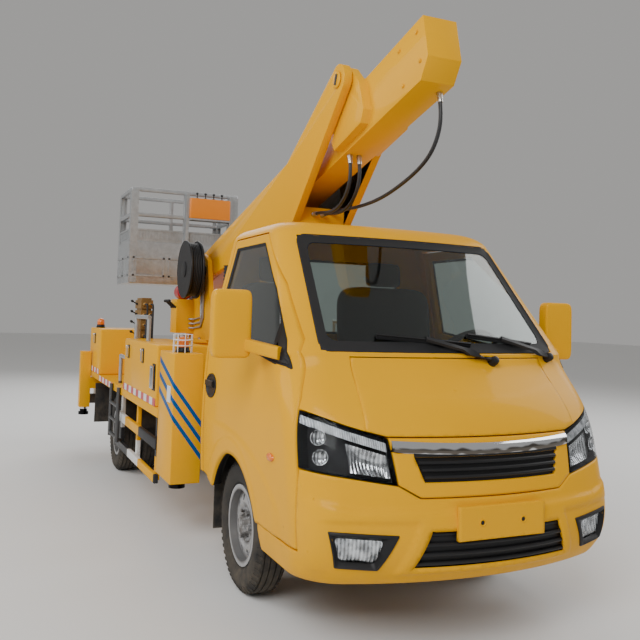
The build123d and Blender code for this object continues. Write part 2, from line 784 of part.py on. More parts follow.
for side, tag in ((-1, "right"), (1, "left")):
    save(tyre(0, side * FRONT_TRACK_HALF), "tyre_front_" + tag)
    save(rim(0, side * FRONT_TRACK_HALF, side, FRONT_DISC, 38, HUB_RADIUS + 16), "rim_front_" + tag)
    outer = REAR_INNER_HALF + REAR_TWIN_PITCH
    with BuildPart() as twin_tyres:
        add(tyre(-WHEELBASE, side * REAR_INNER_HALF))
        add(tyre(-WHEELBASE, side * outer))
    save(twin_tyres.part, "tyres_rear_" + tag)
    with BuildPart() as twin_rims:
        add(rim(-WHEELBASE, side * outer, side, REAR_DISC, TWIN_FACE + 24, HUB_RADIUS + 22))
        add(rim(-WHEELBASE, side * REAR_INNER_HALF, -side, TWIN_DISC, 0, 0))
    save(twin_rims.part, "rims_rear_" + tag)

# Deck, slewing pedestal and boxes
with BuildPart() as deck:
    add(block(DECK_REAR, DECK_FRONT, -DECK_HALF, DECK_HALF, DECK_BOTTOM, DECK_TOP))
    for side in (-1, 1):
        y_range = sorted((side * RAIL_INNER, side * (RAIL_INNER + RAIL_WIDTH)))
        add(block(RAIL_REAR, DECK_FRONT + 60, *y_range, RAIL_TOP, DECK_BOTTOM))
        y_skirt = sorted((side * (DECK_HALF - 6), side * DECK_HALF))
        add(block(DECK_REAR, DECK_FRONT, *y_skirt, DECK_BOTTOM - 20, DECK_BOTTOM))
    add(bar_z(SLEW_X, 0, PEDESTAL_RADIUS, DECK_TOP, PEDESTAL_TOP))
    add(bar_z(SLEW_X, 0, RING_RADIUS, PEDESTAL_TOP, RING_TOP))
save(deck.part, "deck")

BOXES = (
    # rear x, front x, inner half, top
    (-2560, -1300, 600, FRONT_BOX_TOP),
    (DECK_REAR, -3950, 480, REAR_BOX_TOP),
)
with BuildPart() as deck_boxes:
    for rear, front, inner, top in BOXES:
        for side in (-1, 1):
            y_range = sorted((side * inner, side * (DECK_HALF - 2)))
            add(block(rear + 2, front, *y_range, DECK_TOP, top))
save(deck_boxes.part, "deck_boxes")

# Fuel tank on the left rail
with BuildPart() as fuel_tank:
    add(block(-2300, -1500, RAIL_INNER + RAIL_WIDTH, 780, 330, 640))
    fillet(fuel_tank.edges().filter_by(Axis.X), radius=50)
save(fuel_tank.part, "fuel_tank")

# Side guards, rear mudguards and flaps
with BuildPart() as side_guards:
    for side in (-1, 1):
        y_rail = sorted((side * 918, side * 948))
        y_post = sorted((side * 888, side * 918))
        for low, high in ((290, 350), (515, 585)):
            add(block(-2880, -1300, *y_rail, low, high))
        for x in (-2820, -2120, -1420):
            add(block(x - 25, x + 25, *y_post, 290, DECK_BOTTOM))
save(side_guards.part, "side_guards")

GUARD_RADIUS = TYRE_RADIUS + 52
with BuildPart() as mudguards:
    for side in (-1, 1):
        y_high = max(side * 510, side * 892)
        with BuildSketch(Plane.XZ.offset(-y_high)):
            with Locations((-WHEELBASE, TYRE_RADIUS)):
                Circle(GUARD_RADIUS + 6)
                Circle(GUARD_RADIUS, mode=Mode.SUBTRACT)
                with Locations((0, -GUARD_RADIUS)):
                    Rectangle(3 * GUARD_RADIUS, 2 * GUARD_RADIUS + 160, mode=Mode.SUBTRACT)
        extrude(amount=892 - 510)
        y_range = sorted((side * 520, side * 860))
        add(block(-WHEELBASE - 30, -WHEELBASE + 30, *y_range, TYRE_RADIUS + GUARD_RADIUS, DECK_BOTTOM))
        add(block(-3800, -3792, *y_range, 240, DECK_BOTTOM))
        y_flap = sorted((side * 600, side * 772))
        y_arm = sorted((side * (RAIL_INNER + RAIL_WIDTH), side * 640))
        add(block(-478, -470, *y_flap, 200, 600))
        add(block(-500, -478, *y_arm, 530, 600))
save(mudguards.part, "mudguards")

# Rear bumper and tail lamps
with BuildPart() as rear_bumper:
    add(block(REAR_END, REAR_END + 60, -940, 940, 430, 530))
    for side in (-1, 1):
        y_range = sorted((side * 330, side * 380))
        add(block(REAR_END + 40, RAIL_REAR - 140, *y_range, 430, 730))
save(rear_bumper.part, "rear_bumper")

with BuildPart() as tail_lamps:
    for side in (-1, 1):
        y_range = sorted((side * 560, side * 900))
        add(block(REAR_END + 5, REAR_END + 60, *y_range, 530, 620))
save(tail_lamps.part, "tail_lamps")


# Grey tube handrails and boarding ladders
def hoop(rear, front, y, low, high, radius):
    with BuildPart() as made:
        add(bar_z(rear, y, radius, low, high))
        add(bar_z(front, y, radius, low, high))
        add(bar_between((rear - radius, y, high), (front + radius, y, high), radius))
    return made.part


with BuildPart() as handrails:
    for side in (-1, 1):
        add(hoop(-2450, -1950, side * 890, FRONT_BOX_TOP, 1395, 16))
        add(hoop(-3060, -2640, side * 900, DECK_TOP, 1040, 16))
        for x in (-3040, -2660):
            add(bar_z(x, side * (DECK_HALF + 16), 16, 350, DECK_TOP))
        for z in (380, 510, 640):
            add(bar_between((-3040, side * (DECK_HALF + 16), z), (-2660, side * (DECK_HALF + 16), z), 14))
save(handrails.part, "handrails")

# Outriggers: cross tubes, sliding beams with jack columns, and legs
TUBES = (
    # tag, centre x, low z, leg radius, column rear x, front x, inner half, outer half, low z, high z
    ("front", -950, RAIL_TOP, 52, -1150, -750, 785, 970, 400, 1190),
    ("rear", RAIL_REAR - 70, 600, 38, RAIL_REAR - 130, RAIL_REAR - 10, DECK_HALF + 6, 1070, 420, 1000),
)
OPENING = BEAM_SIZE + 2 * SLIDE_GAP
with BuildPart() as outrigger_tubes:
    for tag, x, low, *rest in TUBES:
        size = OPENING + 2 * TUBE_WALL
        add(block(x - size / 2, x + size / 2, -765, 765, low, low + size))
        add(
            block(x - OPENING / 2, x + OPENING / 2, -800, 800, low + TUBE_WALL, low + TUBE_WALL + OPENING),
            mode=Mode.SUBTRACT,
        )
        for side in (-1, 1):
            y_pad = sorted((side * 700, side * 765))
            add(block(x - 40, x + 40, *y_pad, low + TUBE_WALL - 1, low + TUBE_WALL + SLIDE_GAP - SEAT_GAP))
save(outrigger_tubes.part, "outrigger_tubes")

for tag, x, low, leg_radius, back, front, inner, outer, bottom, top in TUBES:
    middle = low + TUBE_WALL + OPENING / 2
    half = BEAM_SIZE / 2
    for side, hand in ((-1, "right"), (1, "left")):
        leg_y = side * (inner + outer) / 2
        y_beam = sorted((side * BEAM_INNER_END, side * (inner + 5)))
        y_column = sorted((side * inner, side * outer))
        with BuildPart() as outrigger:
            add(block(back, front, *y_column, bottom, top))
            add(block(x - half, x + half, *y_beam, middle - half, middle + half))
            add(bar_z(x, leg_y, leg_radius + LEG_GAP, bottom - 1, top - 20), mode=Mode.SUBTRACT)
        save(outrigger.part, "outrigger_" + tag + "_" + hand)
        with BuildPart() as leg:
            add(bar_z(x, leg_y, leg_radius, PAD_BOTTOM, top - 30))
            add(bar_z(x, leg_y, PAD_RADIUS, PAD_BOTTOM, PAD_BOTTOM + PAD_THICKNESS))
        save(leg.part, "leg_" + tag + "_" + hand)

# Turret: table, side plates, base pin stubs, lift lugs and valve block
TABLE_BOTTOM = RING_TOP + SEAT_GAP
TABLE_TOP = TABLE_BOTTOM + TABLE_THICKNESS
TURRET_OUTER = TURRET_INNER + TURRET_PLATE
LIFT_LUG_INNER = 66
LIFT_LUG_OUTER = 90
TURRET_OUTLINE = (
    (-3330, TABLE_TOP - 5),
    (-2480, TABLE_TOP - 5),
    (-2480, 1400),
    (-2640, 1900),
    (-2760, 1965),
    (-3020, 1965),
    (-3330, 1450),
)
LIFT_LUG_OUTLINE = (
    (LIFT_BASE_X - 110, TABLE_TOP - 5),
    (LIFT_BASE_X + 75, TABLE_TOP - 5),
    (LIFT_BASE_X + 45, LIFT_BASE_Z + 30),
    (LIFT_BASE_X - 45, LIFT_BASE_Z + 30),
)
with BuildPart() as turret:
    add(bar_z(SLEW_X, 0, TABLE_RADIUS, TABLE_BOTTOM, TABLE_TOP))
    for side in (-1, 1):
        y_plate = sorted((side * TURRET_INNER, side * TURRET_OUTER))
        y_lug = sorted((side * LIFT_LUG_INNER, side * LIFT_LUG_OUTER))
        y_pin = sorted((side * (FORK_INNER + 1), side * (TURRET_OUTER + 14)))
        add(side_prism(TURRET_OUTLINE, *y_plate))
        add(side_prism(LIFT_LUG_OUTLINE, *y_lug))
        add(bar_y(BASE_PIN_X, BASE_PIN_Z, BASE_PIN_RADIUS, *y_pin))
    add(bar_y(LIFT_BASE_X, LIFT_BASE_Z, 25, -LIFT_LUG_OUTER - 8, LIFT_LUG_OUTER + 8))
    add(block(-3320, -3260, -TURRET_INNER, TURRET_INNER, TABLE_TOP - 5, 1420))
    add(block(-3290, -3060, -420, -TURRET_OUTER, TABLE_TOP + 40, 1560))
save(turret.part, "turret")

# Cable reel on the turret's right side
REEL_X = -2700
REEL_Z = 1815
with BuildPart() as cable_reel:
    add(bar_y(REEL_X, REEL_Z, 250, -452, -440))
    add(bar_y(REEL_X, REEL_Z, 190, -442, -348))
    add(bar_y(REEL_X, REEL_Z, 250, -350, -338))
    add(bar_y(REEL_X, REEL_Z, 40, -340, -TURRET_OUTER))
save(cable_reel.part, "cable_reel")

# Lower boom: two cranked side plates joined by a trough plate
FORK_OUTER = FORK_INNER + FORK_PLATE
KNEE = (-784, 2062)
FORK_OUTLINE = (
    (BASE_PIN_X - 30, BASE_PIN_Z + BASE_EYE_RADIUS - 5),
    (-925, 2464),
    (TIP_PIN_X - 58, TIP_PIN_Z + 71),
    (TIP_PIN_X + 66, TIP_PIN_Z - 64),
    KNEE,
    (BASE_PIN_X + 20, BASE_PIN_Z - BASE_EYE_RADIUS + 3),
)
TROUGH_OUTLINE = ((-2150, 1851), (-786, 2063), (-786, 2079), (-2150, 1867))
TIE_OUTLINE = ((-804, 2066), (-788, 2066), (-788, 2165), (-804, 2165))
LIFT_EAR_OUTLINE = (
    (LIFT_EYE_X - 95, 1892),
    (LIFT_EYE_X + 95, 1921),
    (LIFT_EYE_X + 40, LIFT_EYE_Z - 45),
    (LIFT_EYE_X - 40, LIFT_EYE_Z - 45),
)
LIFT_EYE_HALF = 36
with BuildPart() as lower_boom:
    for side in (-1, 1):
        y_plate = sorted((side * FORK_INNER, side * FORK_OUTER))
        y_ear = sorted((side * (LIFT_EYE_HALF + 6), side * (LIFT_EYE_HALF + 26)))
        y_head = sorted((side * (LIFT_EYE_HALF + 25), side * (LIFT_EYE_HALF + 36)))
        add(side_prism(FORK_OUTLINE, *y_plate))
        add(bar_y(BASE_PIN_X, BASE_PIN_Z, BASE_EYE_RADIUS, *y_plate))
        add(bar_y(TIP_PIN_X, TIP_PIN_Z, TIP_EYE_RADIUS, *y_plate))
        add(side_prism(LIFT_EAR_OUTLINE, *y_ear))
        add(bar_y(LIFT_EYE_X, LIFT_EYE_Z, 28, *y_head))
    add(side_prism(TROUGH_OUTLINE, -FORK_INNER - 1, FORK_INNER + 1))
    add(side_prism(TIE_OUTLINE, -FORK_INNER - 1, FORK_INNER + 1))
    add(bar_y(BASE_PIN_X, BASE_PIN_Z, BASE_PIN_RADIUS + PIN_GAP, -300, 300), mode=Mode.SUBTRACT)
    add(bar_y(TIP_PIN_X, TIP_PIN_Z, TIP_PIN_RADIUS + PIN_GAP, -300, 300), mode=Mode.SUBTRACT)
save(lower_boom.part, "lower_boom")

with BuildPart() as tip_pin:
    add(bar_y(TIP_PIN_X, TIP_PIN_Z, TIP_PIN_RADIUS, -FORK_OUTER - 2, FORK_OUTER + 2))
    for side in (-1, 1):
        y_head = sorted((side * (FORK_OUTER + 1), side * (FORK_OUTER + 11)))
        add(bar_y(TIP_PIN_X, TIP_PIN_Z, TIP_PIN_RADIUS + 14, *y_head))
save(tip_pin.part, "tip_pin")

# Lift cylinder, drawn along its own line from the base eye
LIFT_LENGTH = hypot(LIFT_EYE_X - LIFT_BASE_X, LIFT_EYE_Z - LIFT_BASE_Z)
LIFT_COS = (LIFT_EYE_X - LIFT_BASE_X) / LIFT_LENGTH
LIFT_SIN = (LIFT_EYE_Z - LIFT_BASE_Z) / LIFT_LENGTH
BARREL_END = 745


def along_lift(distance):
    return (LIFT_BASE_X + distance * LIFT_COS, 0, LIFT_BASE_Z + distance * LIFT_SIN)


with BuildPart() as lift_barrel:
    add(bar_between(along_lift(30), along_lift(BARREL_END), BARREL_RADIUS))
    add(bar_between(along_lift(BARREL_END - 40), along_lift(BARREL_END), BARREL_RADIUS + 8))
    add(bar_y(LIFT_BASE_X, LIFT_BASE_Z, 52, -LIFT_LUG_INNER + 6, LIFT_LUG_INNER - 6))
    add(bar_y(LIFT_BASE_X, LIFT_BASE_Z, 25 + PIN_GAP, -80, 80), mode=Mode.SUBTRACT)
    add(bar_between(along_lift(75), along_lift(BARREL_END + 5), ROD_RADIUS + ROD_GAP), mode=Mode.SUBTRACT)
save(lift_barrel.part, "lift_barrel")

with BuildPart() as lift_rod:
    add(bar_between(along_lift(85), along_lift(LIFT_LENGTH - 20), ROD_RADIUS))
    add(bar_y(LIFT_EYE_X, LIFT_EYE_Z, 48, -LIFT_EYE_HALF, LIFT_EYE_HALF))
    add(bar_y(LIFT_EYE_X, LIFT_EYE_Z, 22, -80, 80), mode=Mode.SUBTRACT)
save(lift_rod.part, "lift_rod")


# Upper boom: s runs rearward from the tip pin, h up from the box's middle
def on_boom(s, h):
    tilt = radians(BOOM_INCLINE)
    x = TIP_PIN_X - (h - BOOM_DROP) * sin(tilt) - s * cos(tilt)
    z = TIP_PIN_Z + (h - BOOM_DROP) * cos(tilt) - s * sin(tilt)
    return (x, z)


def boom_prism(points, y_low, y_high):
    return side_prism([on_boom(s, h) for s, h in points], y_low, y_high)


HALF_H = BOOM_HEIGHT / 2
HALF_W = BOOM_WIDTH / 2
BOX_OUTLINE = (
    (-BUTT_LENGTH, HALF_H),
    (OUTER_LENGTH, HALF_H),
    (OUTER_LENGTH, -HALF_H),
    (BUTT_CHAMFER - BUTT_LENGTH, -HALF_H),
    (-BUTT_LENGTH, BUTT_CHAMFER - HALF_H),
)
BORE_OUTLINE = (
    (2 * BOOM_WALL - BUTT_LENGTH, HALF_H - BOOM_WALL),
    (OUTER_LENGTH + 10, HALF_H - BOOM_WALL),
    (OUTER_LENGTH + 10, BOOM_WALL - HALF_H),
    (BUTT_CHAMFER + BOOM_WALL - BUTT_LENGTH, BOOM_WALL - HALF_H),
    (2 * BOOM_WALL - BUTT_LENGTH, BUTT_CHAMFER - HALF_H),
)
FLY_H = HALF_H - BOOM_WALL - FLY_GAP
FLY_W = HALF_W - BOOM_WALL - FLY_GAP
WEAR_PAD_HALF = 60
WEAR_PAD_OUTLINE = (
    (OUTER_LENGTH - 120, BOOM_WALL - HALF_H - 1),
    (OUTER_LENGTH, BOOM_WALL - HALF_H - 1),
    (OUTER_LENGTH, -FLY_H - SEAT_GAP),
    (OUTER_LENGTH - 120, -FLY_H - SEAT_GAP),
)
GUSSET_OUTLINE = (
    (TIP_PIN_X + 62, TIP_PIN_Z + 50),
    (TIP_PIN_X + 160, TIP_PIN_Z - 40),
    (TIP_PIN_X + 230, TIP_PIN_Z - 215),
    (TIP_PIN_X + 195, TIP_PIN_Z - 290),
    (TIP_PIN_X - 150, TIP_PIN_Z - 385),
    (TIP_PIN_X - 215, TIP_PIN_Z - 300),
    (TIP_PIN_X - 78, TIP_PIN_Z - 10),
)
with BuildPart() as upper_boom:
    add(boom_prism(BOX_OUTLINE, -HALF_W, HALF_W))
    add(boom_prism(BORE_OUTLINE, BOOM_WALL - HALF_W, HALF_W - BOOM_WALL), mode=Mode.SUBTRACT)
    for side in (-1, 1):
        y_range = sorted((side * HALF_W, side * (HALF_W + GUSSET_THICKNESS)))
        add(side_prism(GUSSET_OUTLINE, *y_range))
        add(bar_y(TIP_PIN_X, TIP_PIN_Z, TIP_EYE_RADIUS - 12, *y_range))
    add(bar_y(TIP_PIN_X, TIP_PIN_Z, TIP_PIN_RADIUS + PIN_GAP, -300, 300), mode=Mode.SUBTRACT)
    add(boom_prism(WEAR_PAD_OUTLINE, -WEAR_PAD_HALF, WEAR_PAD_HALF))
save(upper_boom.part, "upper_boom")

# Hydraulic hoses from the lower boom's tie plate to the upper boom's underside
TIE_FACE = TIE_OUTLINE[1][0]
UNDERSIDE = -HALF_H - SEAT_GAP
SHORT_ROUTE = (
    (TIE_FACE, 2120),
    (-680, 2120),
    (-540, 2104),
    (-400, 2120),
    (-285, 2190),
    on_boom(215, UNDERSIDE - 118),
    on_boom(215, UNDERSIDE),
)
LONG_ROUTE = (
    (TIE_FACE, 2142),
    (-626, 2142),
    (-377, 2129),
    (-77, 2144),
    (216, 2207),
    (423, 2282),
    (524, 2379),
    on_boom(-600, UNDERSIDE - 120),
    on_boom(-600, UNDERSIDE),
)
HOSES = (
    # name, y, route
    ("hose_short_right", -62, SHORT_ROUTE),
    ("hose_short_left", 0, SHORT_ROUTE),
    ("hose_long", 62, LONG_ROUTE),
)


def bend_radii(points):
    radii = []
    for before, corner, after in zip(points, points[1:], points[2:]):
        turn = (corner - before).get_angle(after - corner)
        run = min((corner - before).length, (after - corner).length)
        radii.append(0.45 * run / tan(radians(turn) / 2))
    return radii


for name, y, route in HOSES:
    points = [Vector(x, y, z) for x, z in route]
    with BuildPart() as hose:
        with BuildLine() as path:
            FilletPolyline(*points, radius=bend_radii(points))
        with BuildSketch(Plane(origin=points[0], z_dir=(1, 0, 0))):
            Circle(HOSE_RADIUS)
        sweep()
    print(name, "bend radii", [round(radius) for radius in bend_radii(points)])
    save(hose.part, name)

HEAD_INNER = 64
LEVEL_X, LEVEL_Z = on_boom(LEVEL_PIN_S, 0)
with BuildPart() as fly_boom:
    add(boom_prism(((FLY_FRONT, FLY_H), (FLY_REAR, FLY_H), (FLY_REAR, -FLY_H), (FLY_FRONT, -FLY_H)), -FLY_W, FLY_W))
    add(
        boom_prism(
            (
                (FLY_FRONT - 5, FLY_H - BOOM_WALL),
                (FLY_REAR - 40, FLY_H - BOOM_WALL),
                (FLY_REAR - 40, BOOM_WALL - FLY_H),
                (FLY_FRONT - 5, BOOM_WALL - FLY_H),
            ),
            BOOM_WALL - FLY_W,
            FLY_W - BOOM_WALL,
        ),
        mode=Mode.SUBTRACT,
    )
    for side in (-1, 1):
        y_range = sorted((side * HEAD_INNER, side * (HEAD_INNER + 20)))
        add(
            boom_prism(
                ((FLY_REAR - 30, 90), (LEVEL_PIN_S + 45, 50), (LEVEL_PIN_S + 45, -50), (FLY_REAR - 30, -90)),
                *y_range,
            )
        )
    add(bar_y(LEVEL_X, LEVEL_Z, LEVEL_PIN_RADIUS, -HEAD_INNER - 28, HEAD_INNER + 28))
save(fly_boom.part, "fly_boom")

# Level bracket: hub on the level pin, arm and upright swing post
POST_TOP = 2150
ARM_HALF = HEAD_INNER - 6
with BuildPart() as level_bracket:
    add(bar_y(LEVEL_X, LEVEL_Z, 56, -ARM_HALF, ARM_HALF))
    add(block(SWING_X - 35, LEVEL_X, -ARM_HALF, ARM_HALF, LEVEL_Z - 50, LEVEL_Z + 50))
    add(bar_z(SWING_X, 0, SWING_RADIUS, LEVEL_Z, POST_TOP))
    add(bar_y(LEVEL_X, LEVEL_Z, LEVEL_PIN_RADIUS + PIN_GAP, -100, 100), mode=Mode.SUBTRACT)
save(level_bracket.part, "level_bracket")

# Bucket: floor, lower panels, posts and rails, with eyes on the swing post
BUCKET_REAR = BUCKET_FRONT - BUCKET_DEPTH
BUCKET_RIGHT = BUCKET_OFFSET - BUCKET_WIDTH / 2
BUCKET_LEFT = BUCKET_OFFSET + BUCKET_WIDTH / 2
EYES = ((LEVEL_Z + 62, LEVEL_Z + 122), (2070, 2130))
with BuildPart() as bucket:
    add(block(BUCKET_REAR, BUCKET_FRONT, BUCKET_RIGHT, BUCKET_LEFT, BUCKET_FLOOR, PANEL_TOP))
    add(
        block(
            BUCKET_REAR + PANEL_THICKNESS,
            BUCKET_FRONT - PANEL_THICKNESS,
            BUCKET_RIGHT + PANEL_THICKNESS,
            BUCKET_LEFT - PANEL_THICKNESS,
            BUCKET_FLOOR + 30,
            PANEL_TOP + 5,
        ),
        mode=Mode.SUBTRACT,
    )
    for low, high in ((PANEL_TOP - BUCKET_TUBE, PANEL_TOP), (2420, 2460), (BUCKET_TOP - BUCKET_TUBE, BUCKET_TOP)):
        add(block(BUCKET_REAR, BUCKET_FRONT, BUCKET_RIGHT, BUCKET_RIGHT + BUCKET_TUBE, low, high))
        add(block(BUCKET_REAR, BUCKET_FRONT, BUCKET_LEFT - BUCKET_TUBE, BUCKET_LEFT, low, high))
        add(block(BUCKET_REAR, BUCKET_REAR + BUCKET_TUBE, BUCKET_RIGHT, BUCKET_LEFT, low, high))
        add(block(BUCKET_FRONT - BUCKET_TUBE, BUCKET_FRONT, BUCKET_RIGHT, BUCKET_LEFT, low, high))
    for x in (BUCKET_REAR, BUCKET_FRONT - BUCKET_TUBE):
        for y in (BUCKET_RIGHT, BUCKET_OFFSET - BUCKET_TUBE / 2, BUCKET_LEFT - BUCKET_TUBE):
            add(block(x, x + BUCKET_TUBE, y, y + BUCKET_TUBE, BUCKET_FLOOR, BUCKET_TOP))
    for low, high in EYES:
        add(block(BUCKET_FRONT - 5, SWING_X, -50, 50, low, high))
        add(bar_z(SWING_X, 0, SWING_RADIUS + 22, low, high))
    add(bar_z(SWING_X, 0, SWING_RADIUS + PIN_GAP, LEVEL_Z, POST_TOP + 20), mode=Mode.SUBTRACT)
save(bucket.part, "bucket")

with BuildPart() as control_box:
    add(block(BUCKET_FRONT, BUCKET_FRONT + 130, -105, 330, 2425, 2640))
save(control_box.part, "control_box")

# Mirrors on the doors
for side, tag in ((-1, "right"), (1, "left")):
    y_head = sorted((side * 880, side * 1070))
    with BuildPart() as mirror_part:
        add(block(345, 420, *y_head, 1235, 1560))
        fillet(mirror_part.edges().filter_by(Axis.X), radius=45)
        add(bar_between((395, side * 910, 1290), (575, side * 800, 1180), 22))
        add(OUTER, mode=Mode.SUBTRACT)
    save(mirror_part.part, "mirror_" + tag)
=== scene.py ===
import json
from math import cos, pi, radians, sin

import bmesh
import bpy
from mathutils import Matrix, Vector
from mathutils.bvhtree import BVHTree


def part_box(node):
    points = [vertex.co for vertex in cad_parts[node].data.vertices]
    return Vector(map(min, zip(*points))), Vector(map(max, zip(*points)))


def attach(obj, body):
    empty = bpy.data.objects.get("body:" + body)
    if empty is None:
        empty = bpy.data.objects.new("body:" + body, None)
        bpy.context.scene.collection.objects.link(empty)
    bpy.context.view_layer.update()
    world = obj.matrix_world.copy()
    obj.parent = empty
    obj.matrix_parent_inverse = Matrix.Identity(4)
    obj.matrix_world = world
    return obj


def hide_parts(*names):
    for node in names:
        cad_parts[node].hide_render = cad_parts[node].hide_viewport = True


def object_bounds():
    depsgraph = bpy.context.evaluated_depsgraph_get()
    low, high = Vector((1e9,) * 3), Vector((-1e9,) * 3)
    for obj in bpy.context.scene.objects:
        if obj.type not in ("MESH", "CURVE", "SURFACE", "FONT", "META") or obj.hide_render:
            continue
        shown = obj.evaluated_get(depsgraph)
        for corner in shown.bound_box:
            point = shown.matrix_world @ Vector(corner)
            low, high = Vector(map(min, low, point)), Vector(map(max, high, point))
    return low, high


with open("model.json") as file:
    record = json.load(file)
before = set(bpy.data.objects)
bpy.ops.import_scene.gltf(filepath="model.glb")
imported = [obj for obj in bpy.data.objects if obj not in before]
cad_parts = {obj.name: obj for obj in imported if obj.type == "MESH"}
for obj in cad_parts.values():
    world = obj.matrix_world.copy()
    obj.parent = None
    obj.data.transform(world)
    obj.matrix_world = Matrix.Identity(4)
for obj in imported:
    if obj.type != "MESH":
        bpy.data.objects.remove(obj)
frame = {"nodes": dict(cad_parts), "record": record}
cad_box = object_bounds()
nodes = frame["nodes"]

# Studio and camera
# A pale floor under a wide soft light, seen from a little right of the nose at head height.
# Heights and distances are in metres from the ground under the middle of the truck.
CAMERA_PLACE = Vector((5.6785, -2.067, 1.447))
CAMERA_YAW = radians(23.862)
CAMERA_PITCH = radians(2.927)
CAMERA_ROLL = radians(1.679)
LENS = 43.08
AXIS_ABOVE_CENTRE = 0.0681

forward = Vector((
    -cos(CAMERA_YAW) * cos(CAMERA_PITCH),
    sin(CAMERA_YAW) * cos(CAMERA_PITCH),
    sin(CAMERA_PITCH),
))
level = Vector((sin(CAMERA_YAW), cos(CAMERA_YAW), 0))
upright = level.cross(forward)
camera_right = cos(CAMERA_ROLL) * level + sin(CAMERA_ROLL) * upright
camera_up = cos(CAMERA_ROLL) * upright - sin(CAMERA_ROLL) * level
camera_data = bpy.data.cameras.new("photo_view")
camera_data.lens = LENS
camera_data.sensor_width = 36
camera_data.sensor_fit = "HORIZONTAL"
camera_data.shift_y = -AXIS_ABOVE_CENTRE
camera_data.clip_end = 200
camera = bpy.data.objects.new("photo_view", camera_data)
turn = Matrix((camera_right, camera_up, -forward)).transposed()
camera.matrix_world = Matrix.Translation(CAMERA_PLACE) @ turn.to_4x4()
bpy.context.scene.collection.objects.link(camera)
bpy.context.scene.camera = camera


def new_material(name):
    material = bpy.data.materials.new(name)
    material.use_nodes = True
    tree = material.node_tree
    return material, tree, tree.nodes["Principled BSDF"]


floor_paint, tree, shader = new_material("studio_floor")
shader.inputs["Base Color"].default_value = (0.78, 0.78, 0.77, 1)
shader.inputs["Roughness"].default_value = 0.75
floor_mesh = bpy.data.meshes.new("studio_floor")
FLOOR_REACH = 40
FLOOR_DROP = 0.001
FLOOR_CORNERS = ((-1, -1), (1, -1), (1, 1), (-1, 1))
corners = [(x * FLOOR_REACH, y * FLOOR_REACH, -FLOOR_DROP) for x, y in FLOOR_CORNERS]
floor_mesh.from_pydata(corners, [], [(0, 1, 2, 3)])
floor_mesh.materials.append(floor_paint)
floor = bpy.data.objects.new("studio_floor", floor_mesh)
bpy.context.scene.collection.objects.link(floor)

world = bpy.data.worlds.new("studio_sky")
bpy.context.scene.world = world
world.use_nodes = True
world.node_tree.nodes["Background"].inputs["Color"].default_value = (1.0, 0.985, 0.96, 1)
world.node_tree.nodes["Background"].inputs["Strength"].default_value = 0.38
SOFT_LIGHTS = (
    # name, place, aimed at, size, watts
    ("front_soft_box", (7.5, -5.5, 6.5), (0.5, 0, 1.2), 5.0, 600),
    ("side_soft_box", (-2.5, -8.0, 5.0), (-1.0, 0, 1.2), 5.0, 330),
    ("left_soft_box", (1.0, 8.0, 6.0), (0.0, 0, 1.2), 6.0, 400),
    ("rear_soft_box", (-8.5, 2.0, 6.0), (-1.5, 0, 1.4), 6.0, 330),
)
for name, place, aim, size, watts in SOFT_LIGHTS:
    lamp = bpy.data.lights.new(name, "AREA")
    lamp.size = size
    lamp.energy = watts
    holder = bpy.data.objects.new(name, lamp)
    holder.location = place
    holder.rotation_euler = (Vector(aim) - Vector(place)).to_track_quat("-Z", "Y").to_euler()
    bpy.context.scene.collection.objects.link(holder)


# Yellow bodywork
# Pressed and welded sheet steel in glossy warm yellow paint, with a faint orange peel
# and a little road dust low down. Each solid first gets the finish of its material slot.
def link(tree, start, end):
    tree.links.new(start, end)


def node(tree, kind, **values):
    made = tree.nodes.new(kind)
    for key, value in values.items():
        if key in made.inputs:
            made.inputs[key].default_value = value
        else:
            setattr(made, key, value)
    return made


def object_place(tree):
    return tree.nodes.new("ShaderNodeTexCoord").outputs["Object"]


def shader_group(name, inputs, outputs):
    """A shader group that takes a place and some numbers, with its two end nodes."""
    group = bpy.data.node_groups.new(name, "ShaderNodeTree")
    group.interface.new_socket(name="Place", in_out="INPUT", socket_type="NodeSocketVector")
    for way, labels in (("INPUT", inputs), ("OUTPUT", outputs)):
        for label in labels:
            group.interface.new_socket(name=label, in_out=way, socket_type="NodeSocketFloat")
    return group, group.nodes.new("NodeGroupInput"), group.nodes.new("NodeGroupOutput")


def grain_group():
    """Fine surface grain: a height for bump and a slow mottle for colour and gloss."""
    scales = ("Fine Scale", "Broad Scale")
    group, inside, outside = shader_group("surface_grain", scales, ("Height", "Mottle"))
    fine = node(group, "ShaderNodeTexNoise", Detail=3.0, Roughness=0.6)
    broad = node(group, "ShaderNodeTexNoise", Detail=4.0, Roughness=0.65)
    link(group, inside.outputs["Place"], fine.inputs["Vector"])
    link(group, inside.outputs["Place"], broad.inputs["Vector"])
    link(group, inside.outputs["Fine Scale"], fine.inputs["Scale"])
    link(group, inside.outputs["Broad Scale"], broad.inputs["Scale"])
    link(group, fine.outputs["Fac"], outside.inputs["Height"])
    link(group, broad.outputs["Fac"], outside.inputs["Mottle"])
    return group


GRAIN = grain_group()


